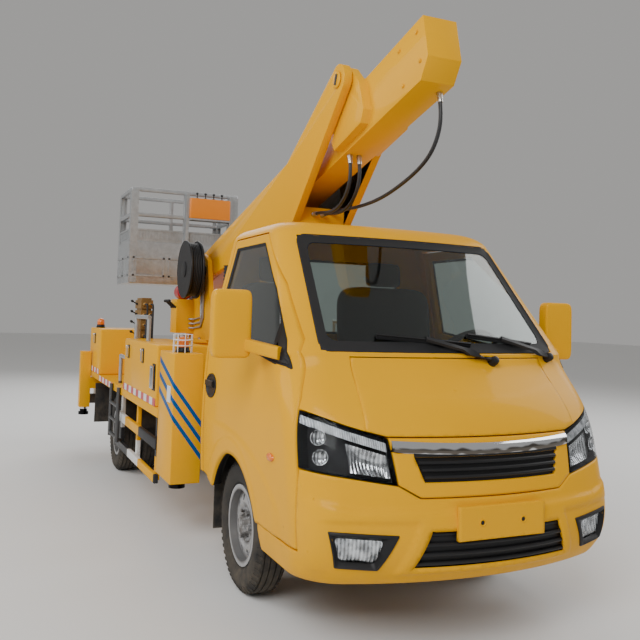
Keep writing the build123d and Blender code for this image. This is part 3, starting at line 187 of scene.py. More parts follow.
def dust_group():
    """Road dust: thick near the ground, broken up by noise, fading out with height."""
    group, inside, outside = shader_group("road_dust", ("Reach", "Amount"), ("Mask",))
    parts = group.nodes.new("ShaderNodeSeparateXYZ")
    share = node(group, "ShaderNodeMath", operation="DIVIDE")
    fade = node(group, "ShaderNodeMath", operation="SUBTRACT", use_clamp=True)
    fade.inputs[0].default_value = 1.0
    streaks = node(group, "ShaderNodeTexNoise", Scale=9.0, Detail=6.0, Roughness=0.7)
    spread = node(group, "ShaderNodeMapRange")
    spread.inputs["From Min"].default_value = 0.35
    spread.inputs["From Max"].default_value = 0.75
    broken = node(group, "ShaderNodeMath", operation="MULTIPLY")
    scaled = node(group, "ShaderNodeMath", operation="MULTIPLY", use_clamp=True)
    link(group, inside.outputs["Place"], parts.inputs["Vector"])
    link(group, inside.outputs["Place"], streaks.inputs["Vector"])
    link(group, parts.outputs["Z"], share.inputs[0])
    link(group, inside.outputs["Reach"], share.inputs[1])
    link(group, share.outputs[0], fade.inputs[1])
    link(group, streaks.outputs["Fac"], spread.inputs["Value"])
    link(group, fade.outputs[0], broken.inputs[0])
    link(group, spread.outputs["Result"], broken.inputs[1])
    link(group, broken.outputs[0], scaled.inputs[0])
    link(group, inside.outputs["Amount"], scaled.inputs[1])
    link(group, scaled.outputs[0], outside.inputs["Mask"])
    return group


DUST = dust_group()
DUST_COLOUR = (0.27, 0.22, 0.16, 1)


def finish_material(name, colour, dark, gloss, grain, dust, metal=0.0, coat=0.0):
    """A surface whose colour, gloss and bump vary: gloss, grain and dust are
    (smooth, rough), (fine scale, broad scale, bump distance) and (reach, amount)."""
    material, tree, shader = new_material(name)
    place = object_place(tree)
    mottle = node(tree, "ShaderNodeGroup", node_tree=GRAIN)
    mottle.inputs["Fine Scale"].default_value = grain[0]
    mottle.inputs["Broad Scale"].default_value = grain[1]
    link(tree, place, mottle.inputs["Place"])
    tint = node(tree, "ShaderNodeMix", data_type="RGBA")
    tint.inputs["A"].default_value = dark
    tint.inputs["B"].default_value = colour
    link(tree, mottle.outputs["Mottle"], tint.inputs["Factor"])
    soil = node(tree, "ShaderNodeGroup", node_tree=DUST)
    soil.inputs["Reach"].default_value = dust[0]
    soil.inputs["Amount"].default_value = dust[1]
    link(tree, place, soil.inputs["Place"])
    soiled = node(tree, "ShaderNodeMix", data_type="RGBA")
    soiled.inputs["B"].default_value = DUST_COLOUR
    link(tree, tint.outputs["Result"], soiled.inputs["A"])
    link(tree, soil.outputs["Mask"], soiled.inputs["Factor"])
    link(tree, soiled.outputs["Result"], shader.inputs["Base Color"])
    sheen = node(tree, "ShaderNodeMapRange")
    sheen.inputs["To Min"].default_value = gloss[0]
    sheen.inputs["To Max"].default_value = gloss[1]
    link(tree, mottle.outputs["Mottle"], sheen.inputs["Value"])
    dulled = node(tree, "ShaderNodeMath", operation="ADD", use_clamp=True)
    link(tree, sheen.outputs["Result"], dulled.inputs[0])
    link(tree, soil.outputs["Mask"], dulled.inputs[1])
    link(tree, dulled.outputs[0], shader.inputs["Roughness"])
    bump = node(tree, "ShaderNodeBump", Strength=0.6, Distance=grain[2])
    link(tree, mottle.outputs["Height"], bump.inputs["Height"])
    link(tree, bump.outputs["Normal"], shader.inputs["Normal"])
    shader.inputs["Metallic"].default_value = metal
    shader.inputs["Coat Weight"].default_value = coat
    shader.inputs["Coat Roughness"].default_value = 0.06
    return material


yellow_paint = finish_material(
    "yellow_paint", (0.84, 0.412, 0.0, 1), (0.79, 0.376, 0.0, 1),
    (0.34, 0.44), (420.0, 2.2, 0.00012), (0.75, 0.22), coat=0.10,
)
black_steel = finish_material(
    "black_frame_paint", (0.030, 0.030, 0.031, 1), (0.018, 0.018, 0.019, 1),
    (0.42, 0.62), (300.0, 5.0, 0.0003), (0.95, 0.55),
)
cast_metal = finish_material(
    "cast_metal", (0.085, 0.083, 0.080, 1), (0.045, 0.043, 0.042, 1),
    (0.5, 0.75), (220.0, 8.0, 0.0009), (0.9, 0.7), metal=0.4,
)
black_plastic = finish_material(
    "black_trim_plastic", (0.020, 0.020, 0.021, 1), (0.013, 0.013, 0.014, 1),
    (0.36, 0.52), (1100.0, 6.0, 0.0003), (0.5, 0.2),
)
black_rubber = finish_material(
    "black_flap_rubber", (0.026, 0.026, 0.027, 1), (0.016, 0.016, 0.017, 1),
    (0.55, 0.8), (600.0, 9.0, 0.0004), (0.8, 0.6),
)
galvanised = finish_material(
    "galvanised_tube", (0.50, 0.51, 0.51, 1), (0.30, 0.31, 0.32, 1),
    (0.32, 0.55), (180.0, 26.0, 0.0003), (0.6, 0.1), metal=0.75,
)
bright_rod = finish_material(
    "bright_rod", (0.72, 0.73, 0.75, 1), (0.66, 0.67, 0.69, 1),
    (0.07, 0.16), (800.0, 6.0, 0.00005), (0.5, 0.1), metal=1.0,
)
silver_paint = finish_material(
    "silver_wheel_paint", (0.52, 0.53, 0.54, 1), (0.36, 0.36, 0.37, 1),
    (0.3, 0.5), (500.0, 9.0, 0.0002), (0.75, 0.4), metal=0.55,
)
ferrule_steel = finish_material(
    "ferrule_steel", (0.62, 0.61, 0.58, 1), (0.42, 0.41, 0.39, 1),
    (0.22, 0.42), (700.0, 40.0, 0.0002), (0.5, 0.0), metal=1.0,
)
red_lens = finish_material(
    "red_lamp_lens", (0.42, 0.012, 0.010, 1), (0.30, 0.006, 0.006, 1),
    (0.1, 0.2), (160.0, 12.0, 0.0004), (0.7, 0.25), coat=0.6,
)


def shine(material, level):
    """Sets how strongly a finish mirrors when looked at straight."""
    material.node_tree.nodes["Principled BSDF"].inputs["Specular IOR Level"].default_value = level


shine(yellow_paint, 0.05)
for dull in (black_steel, black_plastic, black_rubber):
    shine(dull, 0.22)
FINISHES = {
    "paint_yellow": yellow_paint,
    "frame_black": black_steel,
    "cast_parts": cast_metal,
    "trim_black": black_plastic,
    "soft_rubber": black_rubber,
    "galvanised": galvanised,
    "rod_chrome": bright_rod,
    "pin_steel": ferrule_steel,
    "wheel_silver": silver_paint,
    "tail_red": red_lens,
}
slot_of = {part["node"]: part["material_slot"] for part in frame["record"]["subparts"]}


def repainted(name, finish):
    """Gives a solid one finish in place of its own."""
    nodes[name].data.materials.clear()
    nodes[name].data.materials.append(finish)


for name in nodes:
    if slot_of[name] in FINISHES:
        repainted(name, FINISHES[slot_of[name]])


def varied(material, name):
    """A copy of a finish to paint over, and its node tree."""
    variant = material.copy()
    variant.name = name
    return variant, variant.node_tree


def worked(tree, operation, *values):
    """One math node fed by numbers or sockets; gives its result."""
    made = node(tree, "ShaderNodeMath", operation=operation)
    for socket, value in zip(made.inputs, values):
        if isinstance(value, (int, float)):
            socket.default_value = value
        else:
            link(tree, value, socket)
    return made.outputs[0]


def overpaint(material, colour, mask):
    """Covers a material's colour with another one where the mask is one."""
    tree = material.node_tree
    shader = tree.nodes["Principled BSDF"]
    below = shader.inputs["Base Color"].links[0].from_socket
    cover = node(tree, "ShaderNodeMix", data_type="RGBA")
    cover.inputs["B"].default_value = colour
    link(tree, below, cover.inputs["A"])
    link(tree, mask, cover.inputs["Factor"])
    link(tree, cover.outputs["Result"], shader.inputs["Base Color"])


def split_place(tree):
    parts = tree.nodes.new("ShaderNodeSeparateXYZ")
    link(tree, object_place(tree), parts.inputs["Vector"])
    return parts.outputs["X"], parts.outputs["Y"], parts.outputs["Z"]


AXLE = sum((corner.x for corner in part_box("tyre_front_right")), 0.0) / 2
# Faces of the cab body and doors that lie inboard of the side skin, below 0.78 m and back from half
# a metre ahead of the front axle, are painted near black: painted shade inside the wheel arch and
# under the cab.
ARCH_SHADE_HALF, ARCH_SHADE_TOP, ARCH_SHADE_FRONT = 0.822, 0.780, 0.50
ARCH_SHADE_BLACK = (0.012, 0.012, 0.012, 1)
side_paint, tree = varied(yellow_paint, "lined_side_paint")
x, y, z = split_place(tree)
arch_shade = worked(tree, "LESS_THAN", worked(tree, "ABSOLUTE", y), ARCH_SHADE_HALF)
arch_shade = worked(tree, "MULTIPLY", arch_shade, worked(tree, "LESS_THAN", z, ARCH_SHADE_TOP))
arch_shade = worked(tree, "MULTIPLY", arch_shade, worked(tree, "LESS_THAN", x, AXLE + ARCH_SHADE_FRONT))
overpaint(side_paint, ARCH_SHADE_BLACK, arch_shade)
repainted("cab_body", side_paint)

# Pressed cab panels
# Drawn sheet steel: the bumper has a raised lower half with a pocket round each fog lamp
# and a turned-in lip, the hood a soft fold, and the doors a flare over the wheel arch.
PRESS_MESH, PRESS_ROUNDS = 0.020, 9
BRACKET_BACK, BRACKET_HALF, BRACKET_LOW = 1.176, 0.235, 0.52
SHELF_LINE, SHELF_FLAT, SHELF_RISE = 0.666, 0.62, 0.20
SHELF_HEIGHT, SHELF_EASE = 0.014, 0.012
# Pairs give the middle and the half length of an eased run.
SHELF_END = (0.95, 0.07)
LIP = (0.395, 0.018)
POCKET_TOP, POCKET_INNER, POCKET_SLANT = 0.610, 0.368, 0.41
POCKET_OUTER = (0.745, 0.05)
POCKET_EASE = 0.010
FOLD_LINE, FOLD_FLAT, FOLD_RISE = 1.103, 0.25, 0.14
FOLD_HEIGHT, FOLD_EASE = 0.0035, 0.012
FOLD_FOOT = (0.955, 0.02)
FLARE_TOP, FLARE_REAR, FLARE_FALL, FLARE_POWER = 0.857, -0.28, 0.267, 2.76
FLARE_HEIGHT = 0.006
FLARE_EASE = (0.02, 0.022)
FLARE_REAR_END, FLARE_FRONT_END = (-0.47, 0.05), (0.68, 0.06)
ARCH_MIDDLE, ARCH_RADIUS, ARCH_EASE, ARCH_HEIGHT = 0.34, 0.452, 0.008, 0.004
OUTER_SKIN = (0.4, 0.3)
body_of = {}
for body, members in frame["record"]["behaviour"]["bodies"].items():
    for name in members:
        body_of[name] = body


def eased(value, middle, half):
    """Goes smoothly from nought to one as the value passes the middle."""
    share = min(1.0, max(0.0, (value - middle) / (2 * half) + 0.5))
    return share * share * (3 - 2 * share)


def bumper_form(x, y, z):
    """How far the bumper's skin stands out: x is from the front axle."""
    reach = abs(y)
    if x > BRACKET_BACK and reach < BRACKET_HALF and z > BRACKET_LOW:
        return 0.0
    shelf = SHELF_LINE + SHELF_RISE * max(0.0, reach - SHELF_FLAT)
    raised = eased(shelf - z, SHELF_EASE, SHELF_EASE) * eased(x, *SHELF_END) * eased(z, *LIP)
    slant = reach + (z - POCKET_TOP) * POCKET_SLANT
    pocket = eased(POCKET_TOP - z, 0.0, POCKET_EASE) * eased(slant, POCKET_INNER, POCKET_EASE)
    pocket *= 1 - eased(reach, *POCKET_OUTER)
    return SHELF_HEIGHT * raised * (1 - pocket)


def hood_form(x, y, z):
    """How far the hood's skin stands out below its fold."""
    fold = FOLD_LINE + FOLD_RISE * max(0.0, abs(y) - FOLD_FLAT)
    return FOLD_HEIGHT * eased(fold - z, 0.0, FOLD_EASE) * eased(z, *FOLD_FOOT)


def door_form(x, y, z):
    """How far a door's skin stands out along its flare and round the wheel arch."""
    line = FLARE_TOP - FLARE_FALL * max(0.0, x - FLARE_REAR) ** FLARE_POWER
    ends = eased(x, *FLARE_REAR_END) * (1 - eased(x, *FLARE_FRONT_END))
    flare = eased(line - z, *FLARE_EASE) * ends
    radius = (x * x + (z - ARCH_MIDDLE) ** 2) ** 0.5
    arch = 1 - eased(radius, ARCH_RADIUS, ARCH_EASE)
    return FLARE_HEIGHT * flare + ARCH_HEIGHT * arch


def finish_piece(name, made, material, body, sharp=40):
    """Turns a bmesh into a finished piece that rides on a body."""
    bmesh.ops.remove_doubles(made, verts=made.verts, dist=1e-6)
    bmesh.ops.recalc_face_normals(made, faces=made.faces)
    mesh = bpy.data.meshes.new(name)
    made.to_mesh(mesh)
    made.free()
    mesh.materials.append(material)
    mesh.shade_smooth()
    mesh.set_sharp_from_angle(angle=radians(sharp))
    made_piece = bpy.data.objects.new(name, mesh)
    bpy.context.scene.collection.objects.link(made_piece)
    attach(made_piece, body)
    return made_piece


def pressed(name, material, form):
    """A copy of a panel with finer faces, its outer skin pressed into a form."""
    made = bmesh.new()
    made.from_mesh(nodes[name].data)
    bmesh.ops.remove_doubles(made, verts=made.verts, dist=1e-5)
    for turn in range(PRESS_ROUNDS):
        long = [edge for edge in made.edges if edge.calc_length() > PRESS_MESH]
        if not long:
            break
        bmesh.ops.subdivide_edges(made, edges=long, cuts=1)
        many_sided = [face for face in made.faces if len(face.verts) > 3]
        bmesh.ops.triangulate(made, faces=many_sided)
    made.normal_update()
    moves = []
    for point in made.verts:
        sideways = point.normal.y if point.co.y > 0 else -point.normal.y
        outer = eased(max(point.normal.x, sideways), *OUTER_SKIN)
        height = form(point.co.x - AXLE, point.co.y, point.co.z) * outer
        moves.append((point, point.normal * height))
    for point, move in moves:
        point.co += move
    piece = finish_piece(name + "_pressing", made, material, body_of[name])
    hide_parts(name)


pressed("bumper", yellow_paint, bumper_form)
pressed("front_panels", yellow_paint, hood_form)
pressed("door_right", side_paint, door_form)
pressed("door_left", side_paint, door_form)

# Window glass
# Tinted laminated glass in the screen, doors and rear wall, slightly green and a little
# smeared, bonded or slid into rubber channels; the lamps start with it too.
def clear_material(name, colour, bend, smears, dullest):
    """Glass or clear plastic: smears are (scale, detail), dullest is its top roughness."""
    material, tree, shader = new_material(name)
    smear = node(tree, "ShaderNodeTexNoise", Scale=smears[0], Detail=smears[1])
    link(tree, object_place(tree), smear.inputs["Vector"])
    haze = node(tree, "ShaderNodeMapRange")
    haze.inputs["To Min"].default_value = 0.0
    haze.inputs["To Max"].default_value = dullest
    link(tree, smear.outputs["Fac"], haze.inputs["Value"])
    link(tree, haze.outputs["Result"], shader.inputs["Roughness"])
    shader.inputs["Base Color"].default_value = colour
    shader.inputs["Transmission Weight"].default_value = 1.0
    shader.inputs["IOR"].default_value = bend
    return material


window_glass = clear_material("window_glass", (0.55, 0.62, 0.60, 1), 1.45, (6.0, 5.0), 0.05)
for name in ("cab_glass", "door_glass_right", "door_glass_left", "front_lamps"):
    repainted(name, window_glass)

# Screen and window seals
# Black rubber weatherstrips press against the glass edge and the painted opening;
# the windscreen is bonded under a wide black border.
def surface(*names):
    """A search tree over the faces of these solids, for laying trim on them."""
    places = []
    faces = []
    for name in names:
        first = len(places)
        mesh = nodes[name].data
        places += [vertex.co.copy() for vertex in mesh.vertices]
        faces += [[first + corner for corner in face.vertices] for face in mesh.polygons]
    return BVHTree.FromPolygons(places, faces)


def from_front(a, b):
    return Vector((4.0, a, b)), Vector((-1, 0, 0))


def from_right(a, b):
    return Vector((a, -3.0, b)), Vector((0, 1, 0))


def from_left(a, b):
    return Vector((a, 3.0, b)), Vector((0, -1, 0))


def from_behind(a, b):
    return Vector((-4.0, a, b)), Vector((1, 0, 0))


def laid(skin, view, a, b, lift):
    """The place where a view's ray meets a surface, raised off it."""
    start, aim = view(a, b)
    place, normal, _, _ = skin.ray_cast(start, aim)
    if place is None:
        place, normal, _, _ = skin.find_nearest(start + aim * 1.3)
    if normal.dot(aim) > 0:
        normal = -normal
    return place + normal * lift


def shrunk(loop, amount):
    """A convex outline moved inward by an amount, or outward if it is negative."""
    corners = [Vector(point) for point in loop]
    middle = sum(corners, Vector((0, 0))) / len(corners)
    lines = []
    for start, end in zip(corners, corners[1:] + corners[:1]):
        run = (end - start).normalized()
        inward = Vector((-run.y, run.x))
        if inward.dot(middle - start) < 0:
            inward.negate()
        lines.append((start + inward * amount, run))
    moved = []
    for (p, r), (q, s) in zip(lines[-1:] + lines[:-1], lines):
        across = r.x * s.y - r.y * s.x
        along = ((q.x - p.x) * s.y - (q.y - p.y) * s.x) / across
        moved.append(p + r * along)
    return moved


def softened(loop, radius, turns=6, runs=10):
    """A closed outline with round corners, as points spread along it."""
    corners = [Vector(point) for point in loop]
    count = len(corners)
    points = []
    for index, corner in enumerate(corners):
        before = (corners[index - 1] - corner).normalized()
        after = (corners[(index + 1) % count] - corner).normalized()
        start = corner + before * radius
        end = corner + after * radius
        for turn in range(turns + 1):
            share = turn / turns
            points.append(start.lerp(corner, share).lerp(corner.lerp(end, share), share))
        following = corners[(index + 1) % count] - after * radius
        for run in range(1, runs):
            points.append(end.lerp(following, run / runs))
    return points


def joined_rows(made, rows, ring):
    """Joins rows of places into one closed skin: a ring, or a bar with capped ends."""
    grid = [[made.verts.new(place) for place in row] for row in rows]
    count = len(grid[0])
    for row, other in zip(grid, grid[1:] + grid[:1]):
        for step in range(count if ring else count - 1):
            after = (step + 1) % count
            made.faces.new((row[step], row[after], other[after], other[step]))
    if not ring:
        made.faces.new([row[0] for row in grid])
        made.faces.new([row[-1] for row in grid][::-1])


def seal(made, skin, view, loop, section, radius, turns=6, runs=10):
    """A closed strip along an outline: section is (inset, lift) round the strip."""
    rows = []
    for inset, lift in section:
        ring = softened(shrunk(loop, inset), radius, turns, runs)
        rows.append([laid(skin, view, a, b, lift) for a, b in ring])
    joined_rows(made, rows, True)


SCREEN_LOOP = ((-0.655, 1.292), (0.655, 1.292), (0.588, 1.862), (-0.588, 1.862))
SCREEN_SECTION = (
    (-0.007, -0.002), (-0.004, 0.004), (0.004, 0.005), (0.040, 0.0035), (0.042, -0.002),
)
REAR_LOOP = ((-0.520, 1.330), (0.520, 1.330), (0.480, 1.800), (-0.480, 1.800))
DOOR_WINDOW = (
    (0.672, 1.208), (0.586, 1.330), (0.340, 1.574), (0.008, 1.826), (-0.466, 1.826),
    (-0.490, 1.352),
)
STRIP_SECTION = ((-0.006, -0.002), (-0.003, 0.004), (0.010, 0.004), (0.014, -0.002))
SAIL = ((0.664, 1.216), (0.582, 1.330), (0.49, 1.424), (0.50, 1.235))
SAIL_SECTION = ((0.0, -0.001), (0.004, 0.006), (0.04, 0.008))
cab_skin = surface("cab_body", "cab_glass")
made = bmesh.new()
seal(made, cab_skin, from_front, SCREEN_LOOP, SCREEN_SECTION, 0.05)
seal(made, cab_skin, from_behind, REAR_LOOP, STRIP_SECTION, 0.04)
finish_piece("screen_seals", made, black_rubber, "chassis")
window_loop = [(x + AXLE, z) for x, z in DOOR_WINDOW]
sail_loop = [(x + AXLE, z) for x, z in SAIL]
for side, view in (("right", from_right), ("left", from_left)):
    door_skin = surface("door_" + side, "door_glass_" + side)
    made = bmesh.new()
    seal(made, door_skin, view, window_loop, STRIP_SECTION, 0.012)
    finish_piece("window_seal_" + side, made, black_rubber, "door_" + side)
    made = bmesh.new()
    seal(made, door_skin, view, sail_loop, SAIL_SECTION, 0.008, 3, 4)
    finish_piece("window_sail_" + side, made, black_plastic, "door_" + side)

# Wipers
# Two black pressed arms on spindles under the screen, each with a rubber blade in a
# steel carrier, parked low across the glass.
WIPERS = (
    # spindle y, z, blade low y, z, blade high y, z
    (0.200, 1.245, -0.380, 1.352, 0.100, 1.318),
    (0.590, 1.262, 0.110, 1.362, 0.500, 1.322),
)
SPINDLE_CAP = ((0, 0.024), (0.030, 0.022), (0.042, 0.018), (0.046, 0.008))


def bar_on(made, skin, view, start, end, half, lifts, steps=10):
    """A strip laid on a surface between two points, with its width and lift range."""
    run = (Vector(end) - Vector(start)).normalized()
    side = Vector((-run.y, run.x)) * half
    low, high = lifts
    rows = []
    for offset, lift in ((-1, low), (-0.7, high), (0.7, high), (1, low)):
        row = []
        for step in range(steps + 1):
            a, b = Vector(start).lerp(Vector(end), step / steps) + side * offset
            row.append(laid(skin, view, a, b, lift))
        rows.append(row)
    joined_rows(made, rows, False)


def turned(made, profile, start, direction, steps=24):
    """Adds a turned shape: profile is (distance along, radius) from start along direction."""
    spin = direction.normalized().to_track_quat("Z", "Y").to_matrix()
    rings = []
    for along, radius in profile:
        ring = []
        for step in range(steps):
            angle = 2 * pi * step / steps
            place = start + spin @ Vector((radius * cos(angle), radius * sin(angle), along))
            ring.append(made.verts.new(place))
        rings.append(ring)
    for low, high in zip(rings, rings[1:]):
        for step in range(steps):
            after = (step + 1) % steps
            made.faces.new((low[step], low[after], high[after], high[step]))
    made.faces.new(rings[0][::-1])
    made.faces.new(rings[-1])


made = bmesh.new()
wiper_skin = surface("cab_body", "cab_glass", "front_panels")
for spindle_y, spindle_z, low_y, low_z, high_y, high_z in WIPERS:
    blade_start = Vector((low_y, low_z))
    blade_end = Vector((high_y, high_z))
    grip = blade_start.lerp(blade_end, 0.5)
    spindle = (spindle_y, spindle_z)
    for start, end, half, lifts, steps in (
        (blade_start, blade_end, 0.008, (0.004, 0.016), 14),
        (blade_start, blade_end, 0.004, (0.014, 0.026), 14),
        (spindle, grip, 0.010, (0.022, 0.034), 12),
    ):
        bar_on(made, wiper_skin, from_front, start, end, half, lifts, steps)
    seat = laid(wiper_skin, from_front, spindle_y, spindle_z, -0.004)
    rise = laid(wiper_skin, from_front, spindle_y, spindle_z, 0.05) - seat
    turned(made, SPINDLE_CAP, seat, rise, 16)
finish_piece("wipers", made, black_plastic, "chassis")

# Grille and chrome bar
# A plated moulding joins the lamps, with a black strip under it; black moulded slats fill
# the upper opening and the lower intake, clipped in from behind.
BAR_HALF, BAR_TOP, BAR_CROWN, BAR_DEPTH = 0.463, 0.921, 0.012, 0.052
BAR_SECTION = ((0.0, -0.003), (0.06, 0.006), (0.45, 0.011), (0.9, 0.007), (1.0, -0.003))
BAR_STEPS = 40
STRIP_HALF, STRIP_TOP, STRIP_LOW = 0.376, 0.885, 0.8665
SLATS = (
    # heights, half width at top, half width at bottom
    ((0.786, 0.815, 0.844), 0.362, 0.342),
    ((0.437, 0.478, 0.519, 0.560), 0.338, 0.392),
)
SLAT_RISE = 0.009
BEHIND_PLATE = (0.53, 0.70)
chrome_trim = finish_material(
    "chrome_trim", (0.80, 0.81, 0.83, 1), (0.72, 0.73, 0.75, 1),
    (0.05, 0.12), (600.0, 5.0, 0.00005), (0.5, 0.0), metal=1.0,
)


def eased_step(tree, value, middle, half):
    """The shader's own eased step, from nought to one as the value passes the middle."""
    spread = node(tree, "ShaderNodeMapRange", interpolation_type="SMOOTHSTEP")
    spread.inputs["From Min"].default_value = middle - half
    spread.inputs["From Max"].default_value = middle + half
    link(tree, value, spread.inputs["Value"])
    return spread.outputs["Result"]


def opposite(tree, value):
    return worked(tree, "SUBTRACT", 1.0, value)


# The dark brown band with a wavy edge across the bar's lower half is a painted reflection of the
# ground.
bar_chrome, tree = varied(chrome_trim, "bar_chrome")
x, y, z = split_place(tree)
crown = worked(tree, "MULTIPLY", worked(tree, "MULTIPLY", y, y), BAR_CROWN / BAR_HALF ** 2)
fall = worked(tree, "SUBTRACT", worked(tree, "ADD", crown, BAR_TOP), z)
fall = worked(tree, "DIVIDE", fall, BAR_DEPTH)
cloud = node(tree, "ShaderNodeTexNoise", Scale=11.0, Detail=1.0)
link(tree, object_place(tree), cloud.inputs["Vector"])
waver = worked(tree, "MULTIPLY", worked(tree, "SUBTRACT", cloud.outputs["Fac"], 0.5), 0.9)
fall = worked(tree, "ADD", fall, waver)
low_edge = opposite(tree, eased_step(tree, fall, 0.92, 0.08))
ground = worked(tree, "MULTIPLY", eased_step(tree, fall, 0.52, 0.10), low_edge)
overpaint(bar_chrome, (0.13, 0.115, 0.10, 1), ground)

front_skin = surface("front_panels", "grilles", "bumper", "front_lamps", "cab_body")
grille_skin = surface("grilles")


def crowned(y, top):
    """The height of a line that rises towards the lamps, as the bar does."""
    return top + BAR_CROWN * (y / BAR_HALF) ** 2


def bar_row(half, height, lift):
    """One row of places across the nose, at a height that may depend on y."""
    row = []
    for step in range(BAR_STEPS + 1):
        y = half * (2 * step / BAR_STEPS - 1)
        row.append(laid(front_skin, from_front, y, height(y), lift))
    return row


made = bmesh.new()
rows = []
for share, lift in BAR_SECTION:
    rows.append(bar_row(BAR_HALF, lambda y: crowned(y, BAR_TOP) - BAR_DEPTH * share, lift))
joined_rows(made, rows, False)
finish_piece("chrome_bar", made, bar_chrome, "chassis", 60)
made = bmesh.new()
rows = []
for lift in (-0.002, 0.004):
    rows.append(bar_row(STRIP_HALF, lambda y: crowned(y, STRIP_TOP), lift))
for lift in (0.004, -0.002):
    rows.append(bar_row(STRIP_HALF, lambda y: STRIP_LOW, lift))
joined_rows(made, rows, False)
for heights, top_half, low_half in SLATS:
    for z in heights:
        share = (z - heights[0]) / (heights[-1] - heights[0])
        half = low_half + (top_half - low_half) * share
        depth = 0.012 if BEHIND_PLATE[0] <= z <= BEHIND_PLATE[1] else 0.024
        rows = []
        for angle in range(0, 360, 45):
            rise = SLAT_RISE * sin(radians(angle))
            lift = depth * (0.35 + 0.5 * cos(radians(angle)))
            row = []
            for step in range(25):
                y = half * (step / 12 - 1)
                place = laid(grille_skin, from_front, y, z, 0)
                row.append(place + Vector((lift, 0, rise)))
            rows.append(row)
        joined_rows(made, rows, False)
finish_piece("grille_slats", made, black_plastic, "chassis", 60)

# Headlamps and fog lamps
# A clear moulded lens closes a black housing; inside sit a fluted bright reflector, two
# small round lamps one over the other and a ribbed white strip along the top edge.
FOG_LOOP = ((0.470, 0.552), (0.722, 0.564), (0.694, 0.432), (0.536, 0.422))
FOG_GLASS = ((0.512, 0.537), (0.708, 0.548), (0.684, 0.448), (0.543, 0.438))
BULBS = ((0.752, 0.943), (0.752, 0.862))
REFLECTOR = ((0.480, 0.782), (0.640, 0.803), (0.646, 0.918), (0.490, 0.872))
BULB_BOWL = (
    (0.000, 0.010), (0.004, 0.020), (0.014, 0.031), (0.022, 0.034), (0.022, 0.031),
    (0.012, 0.026), (0.006, 0.010),
)
BULB_DEPTH = 0.036
STRIP_LINE = ((0.486, 0.922), (0.634, 0.966), (0.787, 1.020), (0.818, 1.031))
STRIP_WIDTH = 0.036
FOG_RIM = ((-0.009, -0.002), (-0.007, 0.006), (-0.0015, 0.009), (0.004, 0.021))
lamp_lens = clear_material("lamp_lens", (0.96, 0.98, 1, 1), 1.12, (14.0, 3.0), 0.06)


def ribbed_material(name, colour, metal, axis, count, depth):
    """A bright moulded part with fine straight ribs across one axis; its colour is darkened in
    noise blotches, a painted reflection, and in stripes along the ribs, painted rib shade.
    """
    material, tree, shader = new_material(name)
    parts = tree.nodes.new("ShaderNodeSeparateXYZ")
    link(tree, object_place(tree), parts.inputs["Vector"])
    turns = node(tree, "ShaderNodeMath", operation="MULTIPLY")
    turns.inputs[1].default_value = count
    link(tree, parts.outputs[axis], turns.inputs[0])
    wave = node(tree, "ShaderNodeMath", operation="SINE")
    link(tree, turns.outputs[0], wave.inputs[0])
    bump = node(tree, "ShaderNodeBump", Strength=1.0, Distance=depth)
    link(tree, wave.outputs[0], bump.inputs["Height"])
    link(tree, bump.outputs["Normal"], shader.inputs["Normal"])
    patches = node(tree, "ShaderNodeTexNoise", Scale=40.0)
    link(tree, object_place(tree), patches.inputs["Vector"])
    spread = node(tree, "ShaderNodeMapRange")
    spread.inputs["To Min"].default_value = 0.06
    spread.inputs["To Max"].default_value = 0.18
    link(tree, patches.outputs["Fac"], spread.inputs["Value"])
    link(tree, spread.outputs["Result"], shader.inputs["Roughness"])
    # Painted reflection: dark noise blotches in the colour; painted shade: colour stripes that
    # follow the ribs.
    reflection_blotch = node(tree, "ShaderNodeTexNoise", Scale=26.0, Detail=2.0)
    link(tree, object_place(tree), reflection_blotch.inputs["Vector"])
    rib_shade = worked(tree, "MULTIPLY", wave.outputs[0], 0.22)
    shade = worked(tree, "ADD", rib_shade, worked(tree, "MULTIPLY", reflection_blotch.outputs["Fac"], 1.9))
    tint = node(tree, "ShaderNodeMix", data_type="RGBA")
    tint.inputs["A"].default_value = [part * 0.16 for part in colour[:3]] + [1]
    tint.inputs["B"].default_value = colour
    link(tree, worked(tree, "SUBTRACT", shade, 0.42), tint.inputs["Factor"])
    link(tree, tint.outputs["Result"], shader.inputs["Base Color"])
    shader.inputs["Metallic"].default_value = metal
    return material


fluted_chrome = ribbed_material(
    "fluted_reflector", (0.86, 0.87, 0.88, 1), 1.0, "Y", 420.0, 0.0012,
)
ribbed_white = ribbed_material(
    "ribbed_white_lens", (0.82, 0.84, 0.86, 1), 0.15, "Y", 700.0, 0.0010,
)


def patch(made, skin, view, corners, lift, across, up):
    """A sheet laid on a surface inside four corners; lift gives its height at (u, v)."""
    low_left, low_right, high_right, high_left = [Vector(corner) for corner in corners]
    grid = []
    for row in range(up + 1):
        v = row / up
        line = []
        for column in range(across + 1):
            u = column / across
            a, b = low_left.lerp(low_right, u).lerp(high_left.lerp(high_right, u), v)
            line.append(made.verts.new(laid(skin, view, a, b, lift(u, v))))
        grid.append(line)
    for low, high in zip(grid, grid[1:]):
        for column in range(across):
            made.faces.new((low[column], low[column + 1], high[column + 1], high[column]))


